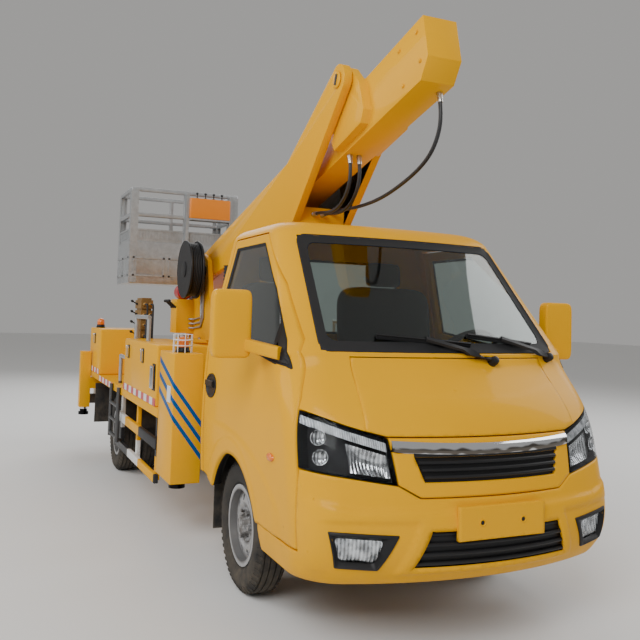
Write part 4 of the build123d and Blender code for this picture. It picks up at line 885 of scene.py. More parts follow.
lamp_skin = surface("front_lamps")
lens = bmesh.new()
lens.from_mesh(nodes["front_lamps"].data)
bmesh.ops.remove_doubles(lens, verts=lens.verts, dist=1e-5)
housing = lens.copy()
for part, keep_outer in ((lens, True), (housing, False)):
    part.normal_update()
    dropped = []
    for face in part.faces:
        middle = face.calc_center_median()
        outward = Vector((0.55, 0.45 if middle.y > 0 else -0.45, 0))
        if (face.normal.dot(outward) > 0.12 and face.normal.x > 0.02) != keep_outer:
            dropped.append(face)
    bmesh.ops.delete(part, geom=dropped, context="FACES")
bmesh.ops.solidify(lens, geom=lens.faces[:], thickness=0.003)
bmesh.ops.reverse_faces(housing, faces=housing.faces[:])
lens_piece = finish_piece("lamp_lenses", lens, lamp_lens, "chassis")
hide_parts("front_lamps")
mesh = bpy.data.meshes.new("lamp_housings")
housing.to_mesh(mesh)
housing.free()
mesh.materials.append(black_plastic)
holder = bpy.data.objects.new("lamp_housings", mesh)
bpy.context.scene.collection.objects.link(holder)
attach(holder, "chassis")


def dish(u, v):
    """The hollow of a reflector: deepest in its middle."""
    bowl = max(0.0, 1 - (2 * u - 1) ** 2) * max(0.0, 1 - (2 * v - 1) ** 2)
    return -0.010 - 0.026 * bowl


def strip_crown(u, v):
    return -0.008 + 0.003 * v * (1 - v)


def fog_hollow(u, v):
    return -0.003 - 0.005 * (1 - (2 * u - 1) ** 2)


def on_side(side, loop):
    """An outline drawn on the left, or mirrored to the right."""
    return [(side * y, z) for y, z in loop]


bright = bmesh.new()
strip = bmesh.new()
for side in (-1, 1):
    patch(bright, lamp_skin, from_front, on_side(side, REFLECTOR), dish, 16, 12)
    for y, z in BULBS:
        seat = laid(lamp_skin, from_front, side * y, z, -BULB_DEPTH)
        turned(bright, BULB_BOWL, seat, Vector((0.9, 0.35 * side, 0)), 20)
    for start, end in zip(STRIP_LINE, STRIP_LINE[1:]):
        low = [(y, z - STRIP_WIDTH) for y, z in (start, end)]
        patch(strip, lamp_skin, from_front, on_side(side, low + [end, start]), strip_crown, 10, 4)
    patch(bright, lamp_skin, from_front, on_side(side, FOG_GLASS[::-1]), fog_hollow, 12, 10)
finish_piece("lamp_reflectors", bright, fluted_chrome, "chassis", 60)
finish_piece("lamp_strips", strip, ribbed_white, "chassis", 60)
fog_skin = surface("front_lamps", "bumper")
made = bmesh.new()
for side in (-1, 1):
    outer = on_side(side, FOG_LOOP)
    inner = on_side(side, FOG_GLASS)
    loops = [(softened(shrunk(outer, inset), 0.006), lift) for inset, lift in FOG_RIM]
    loops.append((softened(inner, 0.022), 0.006))
    loops.append((softened(shrunk(inner, 0.002), 0.022), -0.004))
    rows = []
    for loop, lift in loops:
        rows.append([laid(fog_skin, from_front, a, b, lift) for a, b in loop])
    joined_rows(made, rows, True)
finish_piece("fog_lamp_bezels", made, black_plastic, "chassis")

# Door furniture
# Each door has a black cup with a pull bar, an orange side marker and a yellow moulded
# mirror on a stout arm whose foot stands on the black sail in the window corner.
HANDLE_MIDDLE = (-0.420, 1.028)
HANDLE_HALF = (0.100, 0.070)
MARKER_MIDDLE = (0.601, 0.802)
MARKER_HALF = (0.040, 0.018)
CUP_SECTION = ((1.0, -0.002), (0.98, 0.006), (0.86, 0.007), (0.78, 0.0015), (0.05, 0.001))
MARKER_SECTION = ((1.0, -0.001), (0.96, 0.008), (0.6, 0.013), (0.05, 0.014))
PULL_START, PULL_LENGTH = (-0.07, 0.012), 0.14
MIRROR_MIDDLE, MIRROR_HALF = (0.3825, 0.975, 1.3975), (0.0375, 0.095, 0.1625)
MIRROR_ROUND = 0.24
ARM_FOOT, ARM_HEAD = (0.585, 0.795, 1.268), (0.390, 0.905, 1.300)
ARM_HALF = (0.024, 0.030)
amber_lens = finish_material(
    "amber_lens", (0.85, 0.20, 0.006, 1), (0.72, 0.14, 0.004, 1),
    (0.10, 0.22), (500.0, 30.0, 0.0004), (0.6, 0.1), coat=0.5,
)
mirror_glass = finish_material(
    "mirror_glass", (0.88, 0.90, 0.92, 1), (0.84, 0.86, 0.88, 1),
    (0.01, 0.04), (300.0, 4.0, 0.00001), (0.5, 0.0), metal=1.0,
)


def oval_boss(made, skin, view, middle, half, section, count):
    """An oval raised on a surface: section is (share of its size, lift) from rim to middle."""
    rows = []
    for share, lift in section:
        row = []
        for step in range(count):
            angle = 2 * pi * step / count
            a = middle[0] + half[0] * cos(angle) * share
            b = middle[1] + half[1] * sin(angle) * share
            row.append(laid(skin, view, a, b, lift))
        rows.append(row)
    joined_rows(made, rows, True)


def squared(value, power=0.4):
    """Bends a sine towards a square wave, for round-cornered sections."""
    return (abs(value) ** power) * (1 if value > 0 else -1) if abs(value) > 1e-9 else 0.0


def cushion(made, middle, half, lean, power=0.34, rows=20, columns=32):
    """A stuffed block with crowned faces and round edges, leaning along x with height."""
    grid = []
    for row in range(rows + 1):
        rise = sin(pi * (row / rows - 0.5))
        reach = cos(pi * (row / rows - 0.5))
        line = []
        for column in range(columns):
            angle = 2 * pi * column / columns
            x = squared(reach, power) * squared(cos(angle), power)
            y = squared(reach, power) * squared(sin(angle), power)
            z = squared(rise, power)
            line.append(Vector((
                middle[0] + half[0] * x + lean * half[2] * z,
                middle[1] + half[1] * y,
                middle[2] + half[2] * z,
            )))
        grid.append(line)
    points = [[made.verts.new(place) for place in line] for line in grid[1:-1]]
    for low, high in zip(points, points[1:]):
        for column in range(columns):
            after = (column + 1) % columns
            made.faces.new((low[column], low[after], high[after], high[column]))
    for line, end in ((points[0], grid[0][0]), (points[-1], grid[-1][0])):
        tip = made.verts.new(end)
        for column in range(columns):
            made.faces.new((line[column], line[(column + 1) % columns], tip))


for side, view in (("right", from_right), ("left", from_left)):
    door_skin = surface("door_" + side)
    body = "door_" + side
    made = bmesh.new()
    handle = (HANDLE_MIDDLE[0] + AXLE, HANDLE_MIDDLE[1])
    oval_boss(made, door_skin, view, handle, HANDLE_HALF, CUP_SECTION, 24)
    pull = (handle[0] + PULL_START[0], handle[1] + PULL_START[1])
    pull_end = (pull[0] + PULL_LENGTH, pull[1])
    bar_on(made, door_skin, view, pull, pull_end, 0.020, (0.004, 0.020), 10)
    finish_piece("door_handle_" + side, made, black_plastic, body)
    made = bmesh.new()
    marker = (MARKER_MIDDLE[0] + AXLE, MARKER_MIDDLE[1])
    oval_boss(made, door_skin, view, marker, MARKER_HALF, MARKER_SECTION, 18)
    finish_piece("side_marker_" + side, made, amber_lens, body, 60)
    out = -1 if side == "right" else 1
    middle, foot, head = [
        Vector((x + AXLE, out * y, z)) for x, y, z in (MIRROR_MIDDLE, ARM_FOOT, ARM_HEAD)
    ]
    made = bmesh.new()
    cushion(made, middle, MIRROR_HALF, 0.0, MIRROR_ROUND, 28, 48)
    across = (head - foot).normalized().cross(Vector((0, 0, 1)))
    rows = []
    for angle in range(0, 360, 15):
        wide = ARM_HALF[0] * squared(cos(radians(angle)))
        tall = ARM_HALF[1] * squared(sin(radians(angle)))
        offset = across * wide + Vector((0, 0, tall))
        rows.append([foot.lerp(head, share) + offset for share in (0.0, 0.5, 1.0)])
    joined_rows(made, rows, False)
    piece = finish_piece("mirror_housing_" + side, made, yellow_paint, body, 60)
    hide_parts("mirror_" + side)

# Tyres
# Black radial tyres with four grooves round the tread and cut blocks on both shoulders,
# pressed on steel rims whose paint is dulled by dust, with painted shade near the hub and in the
# rim's well.
HALF_PROFILE = (
    (0.058, 0.1915), (0.061, 0.209), (0.066, 0.216), (0.070, 0.2165), (0.078, 0.232),
    (0.0832, 0.250), (0.0848, 0.272), (0.0832, 0.292), (0.0795, 0.304), (0.074, 0.316),
    (0.066, 0.327), (0.057, 0.3345), (0.052, 0.3372), (0.0515, 0.3290), (0.0455, 0.3290),
    (0.045, 0.3382), (0.020, 0.3392), (0.0195, 0.3300), (0.0135, 0.3300), (0.013, 0.3397),
)
SHOULDER_BLOCK = ((0.0815, 0.304), (0.0835, 0.308), (0.0605, 0.3385), (0.056, 0.3345))
BLOCK_HALF = 0.0085
BLOCKS_ROUND = 52
BLOCK_RADIUS = 0.3
REAR_AXLE = -3.3
WHEELS = (
    # node, body, x from the front axle, middles across
    ("tyre_front_right", "wheel_front_right", 0.0, (-0.695,)),
    ("tyre_front_left", "wheel_front_left", 0.0, (0.695,)),
    ("tyres_rear_right", "wheel_rear_right", REAR_AXLE, (-0.6, -0.8)),
    ("tyres_rear_left", "wheel_rear_left", REAR_AXLE, (0.6, 0.8)),
)
WHEEL_HEIGHT = 0.340
tyre_rubber = finish_material(
    "tyre_rubber", (0.030, 0.029, 0.028, 1), (0.018, 0.018, 0.018, 1),
    (0.6, 0.85), (350.0, 14.0, 0.0006), (0.7, 0.5),
)
shine(tyre_rubber, 0.25)


def copies_tree(name, shape):
    """A Geometry Nodes tree that sets copies of one piece round a ring or along a row."""
    tree = bpy.data.node_groups.new(name, "GeometryNodeTree")
    inputs = [("Copy", "Object"), ("Count", "Int"), ("Finish", "Material")]
    if shape == "ring":
        inputs.append(("Radius", "Float"))
    else:
        inputs += [("Start", "Vector"), ("Step", "Vector")]
    keys = {}
    for label, kind in inputs:
        socket = tree.interface.new_socket(
            name=label, in_out="INPUT", socket_type="NodeSocket" + kind,
        )
        keys[label] = socket.identifier
    tree.interface.new_socket(
        name="Geometry", in_out="OUTPUT", socket_type="NodeSocketGeometry",
    )
    inside = tree.nodes.new("NodeGroupInput")
    outside = tree.nodes.new("NodeGroupOutput")
    info = tree.nodes.new("GeometryNodeObjectInfo")
    info.inputs["As Instance"].default_value = True
    put = tree.nodes.new("GeometryNodeInstanceOnPoints")
    whole = tree.nodes.new("GeometryNodeRealizeInstances")
    paint = tree.nodes.new("GeometryNodeSetMaterial")
    if shape == "ring":
        points = tree.nodes.new("GeometryNodeMeshCircle")
        link(tree, inside.outputs["Count"], points.inputs["Vertices"])
        link(tree, inside.outputs["Radius"], points.inputs["Radius"])
        share = node(tree, "ShaderNodeMath", operation="DIVIDE")
        link(tree, tree.nodes.new("GeometryNodeInputIndex").outputs[0], share.inputs[0])
        link(tree, inside.outputs["Count"], share.inputs[1])
        angle = node(tree, "ShaderNodeMath", operation="MULTIPLY")
        angle.inputs[1].default_value = 2 * pi
        link(tree, share.outputs[0], angle.inputs[0])
        spin = tree.nodes.new("ShaderNodeCombineXYZ")
        link(tree, angle.outputs[0], spin.inputs["Z"])
        link(tree, spin.outputs[0], put.inputs["Rotation"])
    else:
        points = tree.nodes.new("GeometryNodeMeshLine")
        link(tree, inside.outputs["Count"], points.inputs["Count"])
        link(tree, inside.outputs["Start"], points.inputs["Start Location"])
        link(tree, inside.outputs["Step"], points.inputs["Offset"])
    link(tree, inside.outputs["Copy"], info.inputs["Object"])
    link(tree, points.outputs[0], put.inputs["Points"])
    link(tree, info.outputs["Geometry"], put.inputs["Instance"])
    link(tree, put.outputs[0], whole.inputs[0])
    link(tree, whole.outputs[0], paint.inputs["Geometry"])
    link(tree, inside.outputs["Finish"], paint.inputs["Material"])
    link(tree, paint.outputs[0], outside.inputs[0])
    return tree, keys


RING_COPIES = copies_tree("copies_round_a_ring", "ring")
ROW_COPIES = copies_tree("copies_in_a_row", "row")


def copied(made, kind, shape, values, move=None):
    """Adds copies of one shape, set out by a Geometry Nodes tree, to a bmesh."""
    tree, keys = kind
    bmesh.ops.recalc_face_normals(shape, faces=shape.faces)
    mesh = bpy.data.meshes.new("copied_shape")
    shape.to_mesh(mesh)
    shape.free()
    source = bpy.data.objects.new("copied_shape", mesh)
    host = bpy.data.objects.new("copies_host", bpy.data.meshes.new("copies_host"))
    for thing in (source, host):
        bpy.context.scene.collection.objects.link(thing)
    spread = host.modifiers.new("copies", "NODES")
    spread.node_group = tree
    spread[keys["Copy"]] = source
    for label, value in values.items():
        spread[keys[label]] = value
    seen = host.evaluated_get(bpy.context.evaluated_depsgraph_get())
    result = bpy.data.meshes.new_from_object(seen)
    if move:
        result.transform(move)
    made.from_mesh(result)
    for thing in (source, host):
        bpy.data.objects.remove(thing)
    bpy.data.meshes.remove(result)


def wheel_ring(made, profile, x, y, height, steps):
    """A closed profile of (across, radius) swept round an axle line."""
    rings = []
    for across, radius in profile:
        ring = []
        for step in range(steps):
            angle = 2 * pi * step / steps
            ring.append(Vector((x + radius * cos(angle), y + across, height + radius * sin(angle))))
        rings.append(ring)
    joined_rows(made, rings, True)


# The rim's paint is darkened near the hub, broken up by noise, and in a ring just inside its
# flange: painted shade in the hub's hollow and in the well under the tyre bead.
tree = silver_paint.node_tree
x, y, z = split_place(tree)
behind = worked(tree, "LESS_THAN", x, AXLE + REAR_AXLE / 2)
run = worked(tree, "SUBTRACT", x, AXLE)
run = worked(tree, "ADD", run, worked(tree, "MULTIPLY", behind, -REAR_AXLE))
rise = worked(tree, "SUBTRACT", z, WHEEL_HEIGHT)
squares = worked(tree, "ADD", worked(tree, "POWER", run, 2.0), worked(tree, "POWER", rise, 2.0))
radius = worked(tree, "SQRT", squares)
hub_shade_noise = node(tree, "ShaderNodeTexNoise", Scale=30.0, Detail=5.0, Roughness=0.7)
link(tree, object_place(tree), hub_shade_noise.inputs["Vector"])
near_hub = opposite(tree, eased_step(tree, radius, 0.100, 0.030))
hub = worked(tree, "MULTIPLY", near_hub, eased_step(tree, hub_shade_noise.outputs["Fac"], 0.46, 0.14))
in_rim = opposite(tree, eased_step(tree, radius, 0.190, 0.006))
rim_well_shade = worked(tree, "MULTIPLY", eased_step(tree, radius, 0.158, 0.018), in_rim)
hub = worked(tree, "MULTIPLY", hub, 0.85)
rim_well_shade = worked(tree, "MULTIPLY", rim_well_shade, 0.55)
overpaint(silver_paint, (0.050, 0.042, 0.034, 1), worked(tree, "MAXIMUM", hub, rim_well_shade))

TYRE_PROFILE = list(HALF_PROFILE)
TYRE_PROFILE += [(-across, radius) for across, radius in reversed(HALF_PROFILE)]
for name, body, x, middles in WHEELS:
    made = bmesh.new()
    for middle in middles:
        wheel_ring(made, TYRE_PROFILE, x + AXLE, middle, WHEEL_HEIGHT, 80)
        block = bmesh.new()
        for side in (-1, 1):
            ends = []
            for tangent in (-BLOCK_HALF, BLOCK_HALF):
                end = []
                for across, radius in SHOULDER_BLOCK:
                    place = (radius - BLOCK_RADIUS, tangent, side * across)
                    end.append(block.verts.new(place))
                ends.append(end)
            block.faces.new(ends[0])
            block.faces.new(ends[1][::-1])
            for corner in range(4):
                after = (corner + 1) % 4
                block.faces.new((ends[0][corner], ends[1][corner], ends[1][after], ends[0][after]))
        upright_ring = Matrix.Rotation(radians(90), 4, "X")
        stand = Matrix.Translation((x + AXLE, middle, WHEEL_HEIGHT)) @ upright_ring
        values = {"Count": BLOCKS_ROUND, "Radius": BLOCK_RADIUS, "Finish": tyre_rubber}
        copied(made, RING_COPIES, block, values, stand)
    piece = finish_piece(name + "_rubber", made, tyre_rubber, body, 30)
    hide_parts(name)

# Steelwork
# Frame, deck, lockers, turret and booms: cut and folded steel plate, welded and painted,
# with every outer edge eased; the deck's top is rolled with raised lozenges.
EASED = (
    # node, edge radius, steps
    ("deck_boxes", 0.014, 3),
    ("rear_bumper", 0.008, 2),
    ("turret", 0.006, 2),
    ("level_bracket", 0.006, 2),
    ("lower_boom", 0.006, 2),
    ("upper_boom", 0.008, 2),
    ("chassis_frame", 0.006, 2),
    ("deck", 0.006, 2),
)
CHEQUER_PITCH = 0.036
CHEQUER_HEIGHT = 0.0018


def pressed_into(material, height):
    """Adds a pressed form, a height in metres, over a material's own grain."""
    tree = material.node_tree
    shader = tree.nodes["Principled BSDF"]
    bump = node(tree, "ShaderNodeBump", Strength=1.0, Distance=1.0)
    link(tree, shader.inputs["Normal"].links[0].from_socket, bump.inputs["Normal"])
    link(tree, height, bump.inputs["Height"])
    link(tree, bump.outputs["Normal"], shader.inputs["Normal"])


def wave(tree, value, turns):
    return worked(tree, "SINE", worked(tree, "MULTIPLY", value, turns))


def rounded(name, width, steps, material):
    """A copy of a solid with its edges rounded, shown in the solid's place."""
    made = bmesh.new()
    made.from_mesh(nodes[name].data)
    bmesh.ops.remove_doubles(made, verts=made.verts, dist=1e-5)
    bmesh.ops.dissolve_limit(
        made, angle_limit=radians(1.5), verts=made.verts, edges=made.edges,
    )
    mesh = bpy.data.meshes.new(name + "_steel")
    made.to_mesh(mesh)
    made.free()
    mesh.materials.append(material)
    shaped = bpy.data.objects.new(name + "_steel", mesh)
    bpy.context.scene.collection.objects.link(shaped)
    edge = shaped.modifiers.new("round_edges", "BEVEL")
    edge.width = width
    edge.segments = steps
    edge.limit_method = "ANGLE"
    edge.angle_limit = radians(35)
    edge.harden_normals = False
    seen = shaped.evaluated_get(bpy.context.evaluated_depsgraph_get())
    final = bpy.data.meshes.new_from_object(seen)
    shaped.modifiers.clear()
    shaped.data = final
    final.name = name + "_steel"
    final.shade_smooth()
    final.set_sharp_from_angle(angle=radians(40))
    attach(shaped, body_of[name])
    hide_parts(name)


deck_paint, tree = varied(yellow_paint, "chequered_deck_paint")
x, y, z = split_place(tree)
rows_of = wave(tree, worked(tree, "ADD", x, y), 2 * pi / CHEQUER_PITCH)
lines_of = wave(tree, worked(tree, "SUBTRACT", x, y), pi / CHEQUER_PITCH)
lozenge = eased_step(tree, worked(tree, "MULTIPLY", rows_of, lines_of), 0.45, 0.25)
pressed_into(deck_paint, worked(tree, "MULTIPLY", lozenge, CHEQUER_HEIGHT))
for name, width, steps in EASED:
    rounded(name, width, steps, deck_paint if name == "deck" else FINISHES[slot_of[name]])

# Jack columns and side guards
# The front jack columns carry three blue slanting bands round the corner; the guard
# rails are painted in white, yellow and dark lengths.
BAND_START = 0.922
BAND_PITCH = 0.098
BAND_SHARE = 0.40
SIDE_SLOPE = 0.34
FRONT_SLOPE = 1.35
COLUMN_REAR = -1.150
COLUMN_OUTER = 0.970
BAND_COUNT = 3.0
BAND_BLUE = (0.004, 0.085, 0.28, 1)
GUARD_START, GUARD_PITCH = -2.9, 1.60
GUARD_SPLIT, GUARD_SHIFT = 0.45, 0.64
GUARD_WHITE, GUARD_DARK = 0.27, 0.62
LEG_FOOT_TOP = 0.398
LADDER_TOP = 0.82
jack_paint, tree = varied(yellow_paint, "jack_column_paint")
x, y, z = split_place(tree)
along = worked(tree, "MULTIPLY", worked(tree, "SUBTRACT", x, AXLE + COLUMN_REAR), SIDE_SLOPE)
inward = worked(tree, "SUBTRACT", COLUMN_OUTER, worked(tree, "ABSOLUTE", y))
inward = worked(tree, "MULTIPLY", inward, FRONT_SLOPE)
height = worked(tree, "ADD", worked(tree, "ADD", z, along), inward)
count = worked(tree, "DIVIDE", worked(tree, "SUBTRACT", height, BAND_START), BAND_PITCH)
band = worked(tree, "LESS_THAN", worked(tree, "FRACT", count), BAND_SHARE)
started = worked(tree, "GREATER_THAN", count, 0.0)
inside = worked(tree, "MULTIPLY", started, worked(tree, "LESS_THAN", count, BAND_COUNT))
overpaint(jack_paint, BAND_BLUE, worked(tree, "MULTIPLY", band, inside))
guard_paint, tree = varied(yellow_paint, "guard_rail_paint")
x, y, z = split_place(tree)
shift = worked(tree, "MULTIPLY", worked(tree, "LESS_THAN", z, GUARD_SPLIT), GUARD_SHIFT)
length = worked(tree, "DIVIDE", worked(tree, "SUBTRACT", x, AXLE + GUARD_START), GUARD_PITCH)
length = worked(tree, "FRACT", worked(tree, "ADD", length, shift))
overpaint(guard_paint, (0.70, 0.70, 0.68, 1), worked(tree, "LESS_THAN", length, GUARD_WHITE))
overpaint(
    guard_paint, (0.035, 0.035, 0.037, 1), worked(tree, "GREATER_THAN", length, GUARD_DARK),
)
leg_steel, tree = varied(bright_rod, "jack_leg_steel")
x, y, z = split_place(tree)
overpaint(leg_steel, (0.012, 0.012, 0.013, 1), worked(tree, "LESS_THAN", z, LEG_FOOT_TOP))
rail_steel, tree = varied(galvanised, "rail_and_ladder_steel")
x, y, z = split_place(tree)
overpaint(rail_steel, (0.10, 0.10, 0.102, 1), worked(tree, "LESS_THAN", z, LADDER_TOP))
for end, paint in (("front", jack_paint), ("rear", yellow_paint)):
    for side in ("right", "left"):
        corner = end + "_" + side
        rounded("outrigger_" + corner, 0.012, 3, paint)
        repainted("leg_" + corner, leg_steel)
rounded("side_guards", 0.005, 2, guard_paint)
repainted("handrails", rail_steel)

# Marker tape, latches and handles
# Red and white reflecting tape runs along the deck edge; the lockers close with bright latches,
# each on a larger black plate that is a painted shadow round it, and have a bright pull at their
# front end over a black plate that is painted shade in its recess.
TAPE_RUNS = (
    # rear x, front x, low z, high z, half width
    (-2.55, -1.31, 0.803, 0.853, 0.9585),
    (-3.94, -3.08, 0.748, 0.797, 0.9605),
    (-4.68, -3.96, 0.803, 0.853, 0.9585),
)
LATCHES = ((-1.78, 1.120), (-2.36, 1.120), (-4.32, 1.150))
TAPE_PITCH = 0.20
BOX_FACE = 0.958
LATCH_CAP = ((0, 0.010), (0.022, 0.010), (0.024, 0.008))
PULL_PLACE, PULL_BACK_LOW, PULL_BACK_HIGH = -1.375, 0.905, 1.085
PULL_HALF, PULL_LOW, PULL_HIGH, PULL_RADIUS, PULL_OFF = 0.030, 0.925, 1.065, 0.009, 0.016
tape = finish_material(
    "marker_tape", (0.80, 0.79, 0.77, 1), (0.70, 0.69, 0.67, 1),
    (0.25, 0.4), (900.0, 12.0, 0.0002), (0.9, 0.35),
)
tree = tape.node_tree
x, y, z = split_place(tree)
red_length = worked(tree, "FRACT", worked(tree, "DIVIDE", x, TAPE_PITCH))
overpaint(tape, (0.52, 0.012, 0.02, 1), worked(tree, "LESS_THAN", red_length, 0.5))


def box_between(made, start, end):
    """A box between two opposite corners."""
    spans = [sorted(span) for span in zip(start, end)]
    points = []
    for x in spans[0]:
        for y in spans[1]:
            points += [made.verts.new((x, y, z)) for z in spans[2]]
    for face in (
        (0, 1, 3, 2), (4, 6, 7, 5), (0, 4, 5, 1), (2, 3, 7, 6), (0, 2, 6, 4), (1, 5, 7, 3),
    ):
        made.faces.new([points[corner] for corner in face])


def side_plate(made, side, middle, half, face, lifts):
    """A flat plate on an upright side face: middle and half are (x, z)."""
    low, high = [side * (face + lift) for lift in lifts]
    box_between(
        made, (middle[0] - half[0], low, middle[1] - half[1]),
        (middle[0] + half[0], high, middle[1] + half[1]),
    )


strips = bmesh.new()
shadow_plates = bmesh.new()
bright = bmesh.new()
for side in (-1, 1):
    out = Vector((0, side, 0))
    for rear, front, low, high, half in TAPE_RUNS:
        inner, outer = side * (half - 0.002), side * (half + 0.0015)
        box_between(strips, (rear + AXLE, inner, low), (front + AXLE, outer, high))
    for x, z in LATCHES:
        x += AXLE
        # A larger black plate under each latch: painted shadow.
        side_plate(shadow_plates, side, (x, z - 0.0025), (0.032, 0.0525), BOX_FACE, (-0.002, 0.006))
        side_plate(bright, side, (x, z - 0.0075), (0.022, 0.0375), BOX_FACE, (0.004, 0.016))
        turned(bright, LATCH_CAP, Vector((x, side * BOX_FACE, z + 0.036)), out, 16)
    x = PULL_PLACE + AXLE
    middle = (x, (PULL_BACK_LOW + PULL_BACK_HIGH) / 2)
    half = (0.045, (PULL_BACK_HIGH - PULL_BACK_LOW) / 2)
    # A black plate behind the pull: painted shade in its recess.
    side_plate(shadow_plates, side, middle, half, BOX_FACE, (-0.002, 0.004))
    bar = side * (BOX_FACE + PULL_OFF)
    rounds = [
        (Vector((x + dx, bar, PULL_LOW - 0.005)), Vector((0, 0, 1)), 0.15)
        for dx in (-PULL_HALF, PULL_HALF)
    ]
    for z in (PULL_LOW, PULL_HIGH):
        rounds.append((Vector((x - PULL_HALF, bar, z)), Vector((1, 0, 0)), 2 * PULL_HALF))
        rounds.append((Vector((x, side * (BOX_FACE - 0.001), z)), out, 0.018))
    for start, direction, length in rounds:
        turned(bright, ((0, PULL_RADIUS), (length, PULL_RADIUS)), start, direction, 12)
finish_piece("marker_tape", strips, tape, "chassis")
finish_piece("latch_backs", shadow_plates, black_plastic, "chassis")
finish_piece("latches", bright, chrome_trim, "chassis")
white_plate = finish_material(
    "white_plate", (0.78, 0.78, 0.76, 1), (0.70, 0.70, 0.68, 1),
    (0.3, 0.45), (500.0, 10.0, 0.0001), (0.8, 0.15),
)
for side, tag in ((-1, "right"), (1, "left")):
    made = bmesh.new()
    side_plate(made, side, (-0.860 + AXLE, 0.935), (0.045, 0.050), COLUMN_OUTER, (-0.0005, 0.003))
    finish_piece("jack_plate_" + tag, made, white_plate, "outrigger_front_" + tag)

# Warning lamps
# Orange moulded domes on black feet, screwed to the jack columns and the rear lockers;
# the front ones stand inside guards of pale bent wire.
BEACONS = (
    # name, body, x from the front axle, y, z, guarded
    ("front_right", "outrigger_front_right", -0.90, -0.884, 1.190, True),
    ("front_left", "outrigger_front_left", -0.90, 0.884, 1.190, True),
    ("rear_right", "chassis", -4.60, -0.87, 1.250, False),
    ("rear_left", "chassis", -4.60, 0.87, 1.250, False),
)
BEACON_FOOT = ((0, 0.046), (0.012, 0.046), (0.016, 0.042), (0.034, 0.040), (0.036, 0.034))
BEACON_DOME = (
    (0.034, 0.037), (0.050, 0.038), (0.072, 0.037), (0.086, 0.032), (0.096, 0.022),
    (0.101, 0.008),
)
GUARD_RADIUS, GUARD_TOP, GUARD_WIRE = 0.060, 0.115, 0.0032
GUARD_RINGS = (0.045, 0.080)


def tubes(name, paths, radius, material, body):
    """Round bars along straight or bent paths, as one piece."""
    curve = bpy.data.curves.new(name, "CURVE")
    curve.dimensions = "3D"
    curve.bevel_depth = radius
    curve.bevel_resolution = 3
    curve.use_fill_caps = True
    for path in paths:
        spline = curve.splines.new("POLY")
        spline.points.add(len(path) - 1)
        for point, place in zip(spline.points, path):
            point.co = (place[0], place[1], place[2], 1)
    source = bpy.data.objects.new(name + "_line", curve)
    bpy.context.scene.collection.objects.link(source)
    seen = source.evaluated_get(bpy.context.evaluated_depsgraph_get())
    mesh = bpy.data.meshes.new_from_object(seen)
    bpy.data.objects.remove(source)
    made = bmesh.new()
    made.from_mesh(mesh)
    return finish_piece(name, made, material, body)


for name, body, x, y, z, guarded in BEACONS:
    foot = bmesh.new()
    dome = bmesh.new()
    base = Vector((x + AXLE, y, z - 0.001))
    up = Vector((0, 0, 1))
    turned(foot, BEACON_FOOT, base, up, 24)
    turned(dome, BEACON_DOME, base, up, 24)
    finish_piece("beacon_foot_" + name, foot, black_plastic, body)
    finish_piece("beacon_dome_" + name, dome, amber_lens, body, 60)
    if guarded:
        paths = []
        for step in range(4):
            angle = pi * step / 4
            arm = Vector((cos(angle), sin(angle), 0)) * GUARD_RADIUS
            top = up * GUARD_TOP
            paths.append([base - arm, base - arm + top, base + arm + top, base + arm])
        for lift in GUARD_RINGS:
            circle = []
            for step in range(24):
                angle = 2 * pi * step / 24
                around = Vector((cos(angle), sin(angle), 0)) * (GUARD_RADIUS + 0.001)
                circle.append(base + around + up * lift)
            paths.append(circle + circle[:1])
        tubes("beacon_guard_" + name, paths, GUARD_WIRE, white_plate, body)

# Mirror glass and number plates
# Silvered glass sits in the back of each mirror; the front bracket keeps its two bolt holes, each a
# yellow rim round a black disc that is painted shade inside the hole, and a blank plate is bolted
# to the rear bumper.
MIRROR_LOOP = ((0.900, 1.255), (1.050, 1.255), (1.050, 1.540), (0.900, 1.540))
MIRROR_SECTION = ((0.0, -0.001), (0.003, 0.002), (0.060, 0.002))
HOLE_RIM = ((0, 0.017), (0.003, 0.016), (0.004, 0.012), (0.0005, 0.0095))
HOLE_SHADE_DISC = ((0, 0.0088), (0.0016, 0.0086))
HOLE_PLACE = (1.1995, 0.105, 0.603)
PLATE_BOLT = ((0, 0.009), (0.006, 0.009), (0.008, 0.006))
REAR_FACE = cad_box[0][0]
for side, tag in ((-1, "right"), (1, "left")):
    made = bmesh.new()
    head = surface("mirror_" + tag)
    seal(made, head, from_behind, on_side(side, MIRROR_LOOP), MIRROR_SECTION, 0.012, 4, 6)
    finish_piece("mirror_glass_" + tag, made, mirror_glass, "door_" + tag)
rims = bmesh.new()
hole_shade_discs = bmesh.new()
rear = bmesh.new()
box_between(rear, (REAR_FACE - 0.003, -0.22, 0.435), (REAR_FACE + 0.002, 0.22, 0.525))
for side in (-1, 1):
    start = Vector((HOLE_PLACE[0] + AXLE, side * HOLE_PLACE[1], HOLE_PLACE[2]))
    turned(rims, HOLE_RIM, start, Vector((1, 0, 0)), 20)
    turned(hole_shade_discs, HOLE_SHADE_DISC, start, Vector((1, 0, 0)), 20)
    turned(rear, PLATE_BOLT, Vector((REAR_FACE, side * 0.18, 0.48)), Vector((-1, 0, 0)), 12)
finish_piece("plate_hole_rims", rims, yellow_paint, "chassis")
finish_piece("plate_holes", hole_shade_discs, black_plastic, "chassis")
finish_piece("rear_plate", rear, white_plate, "chassis")

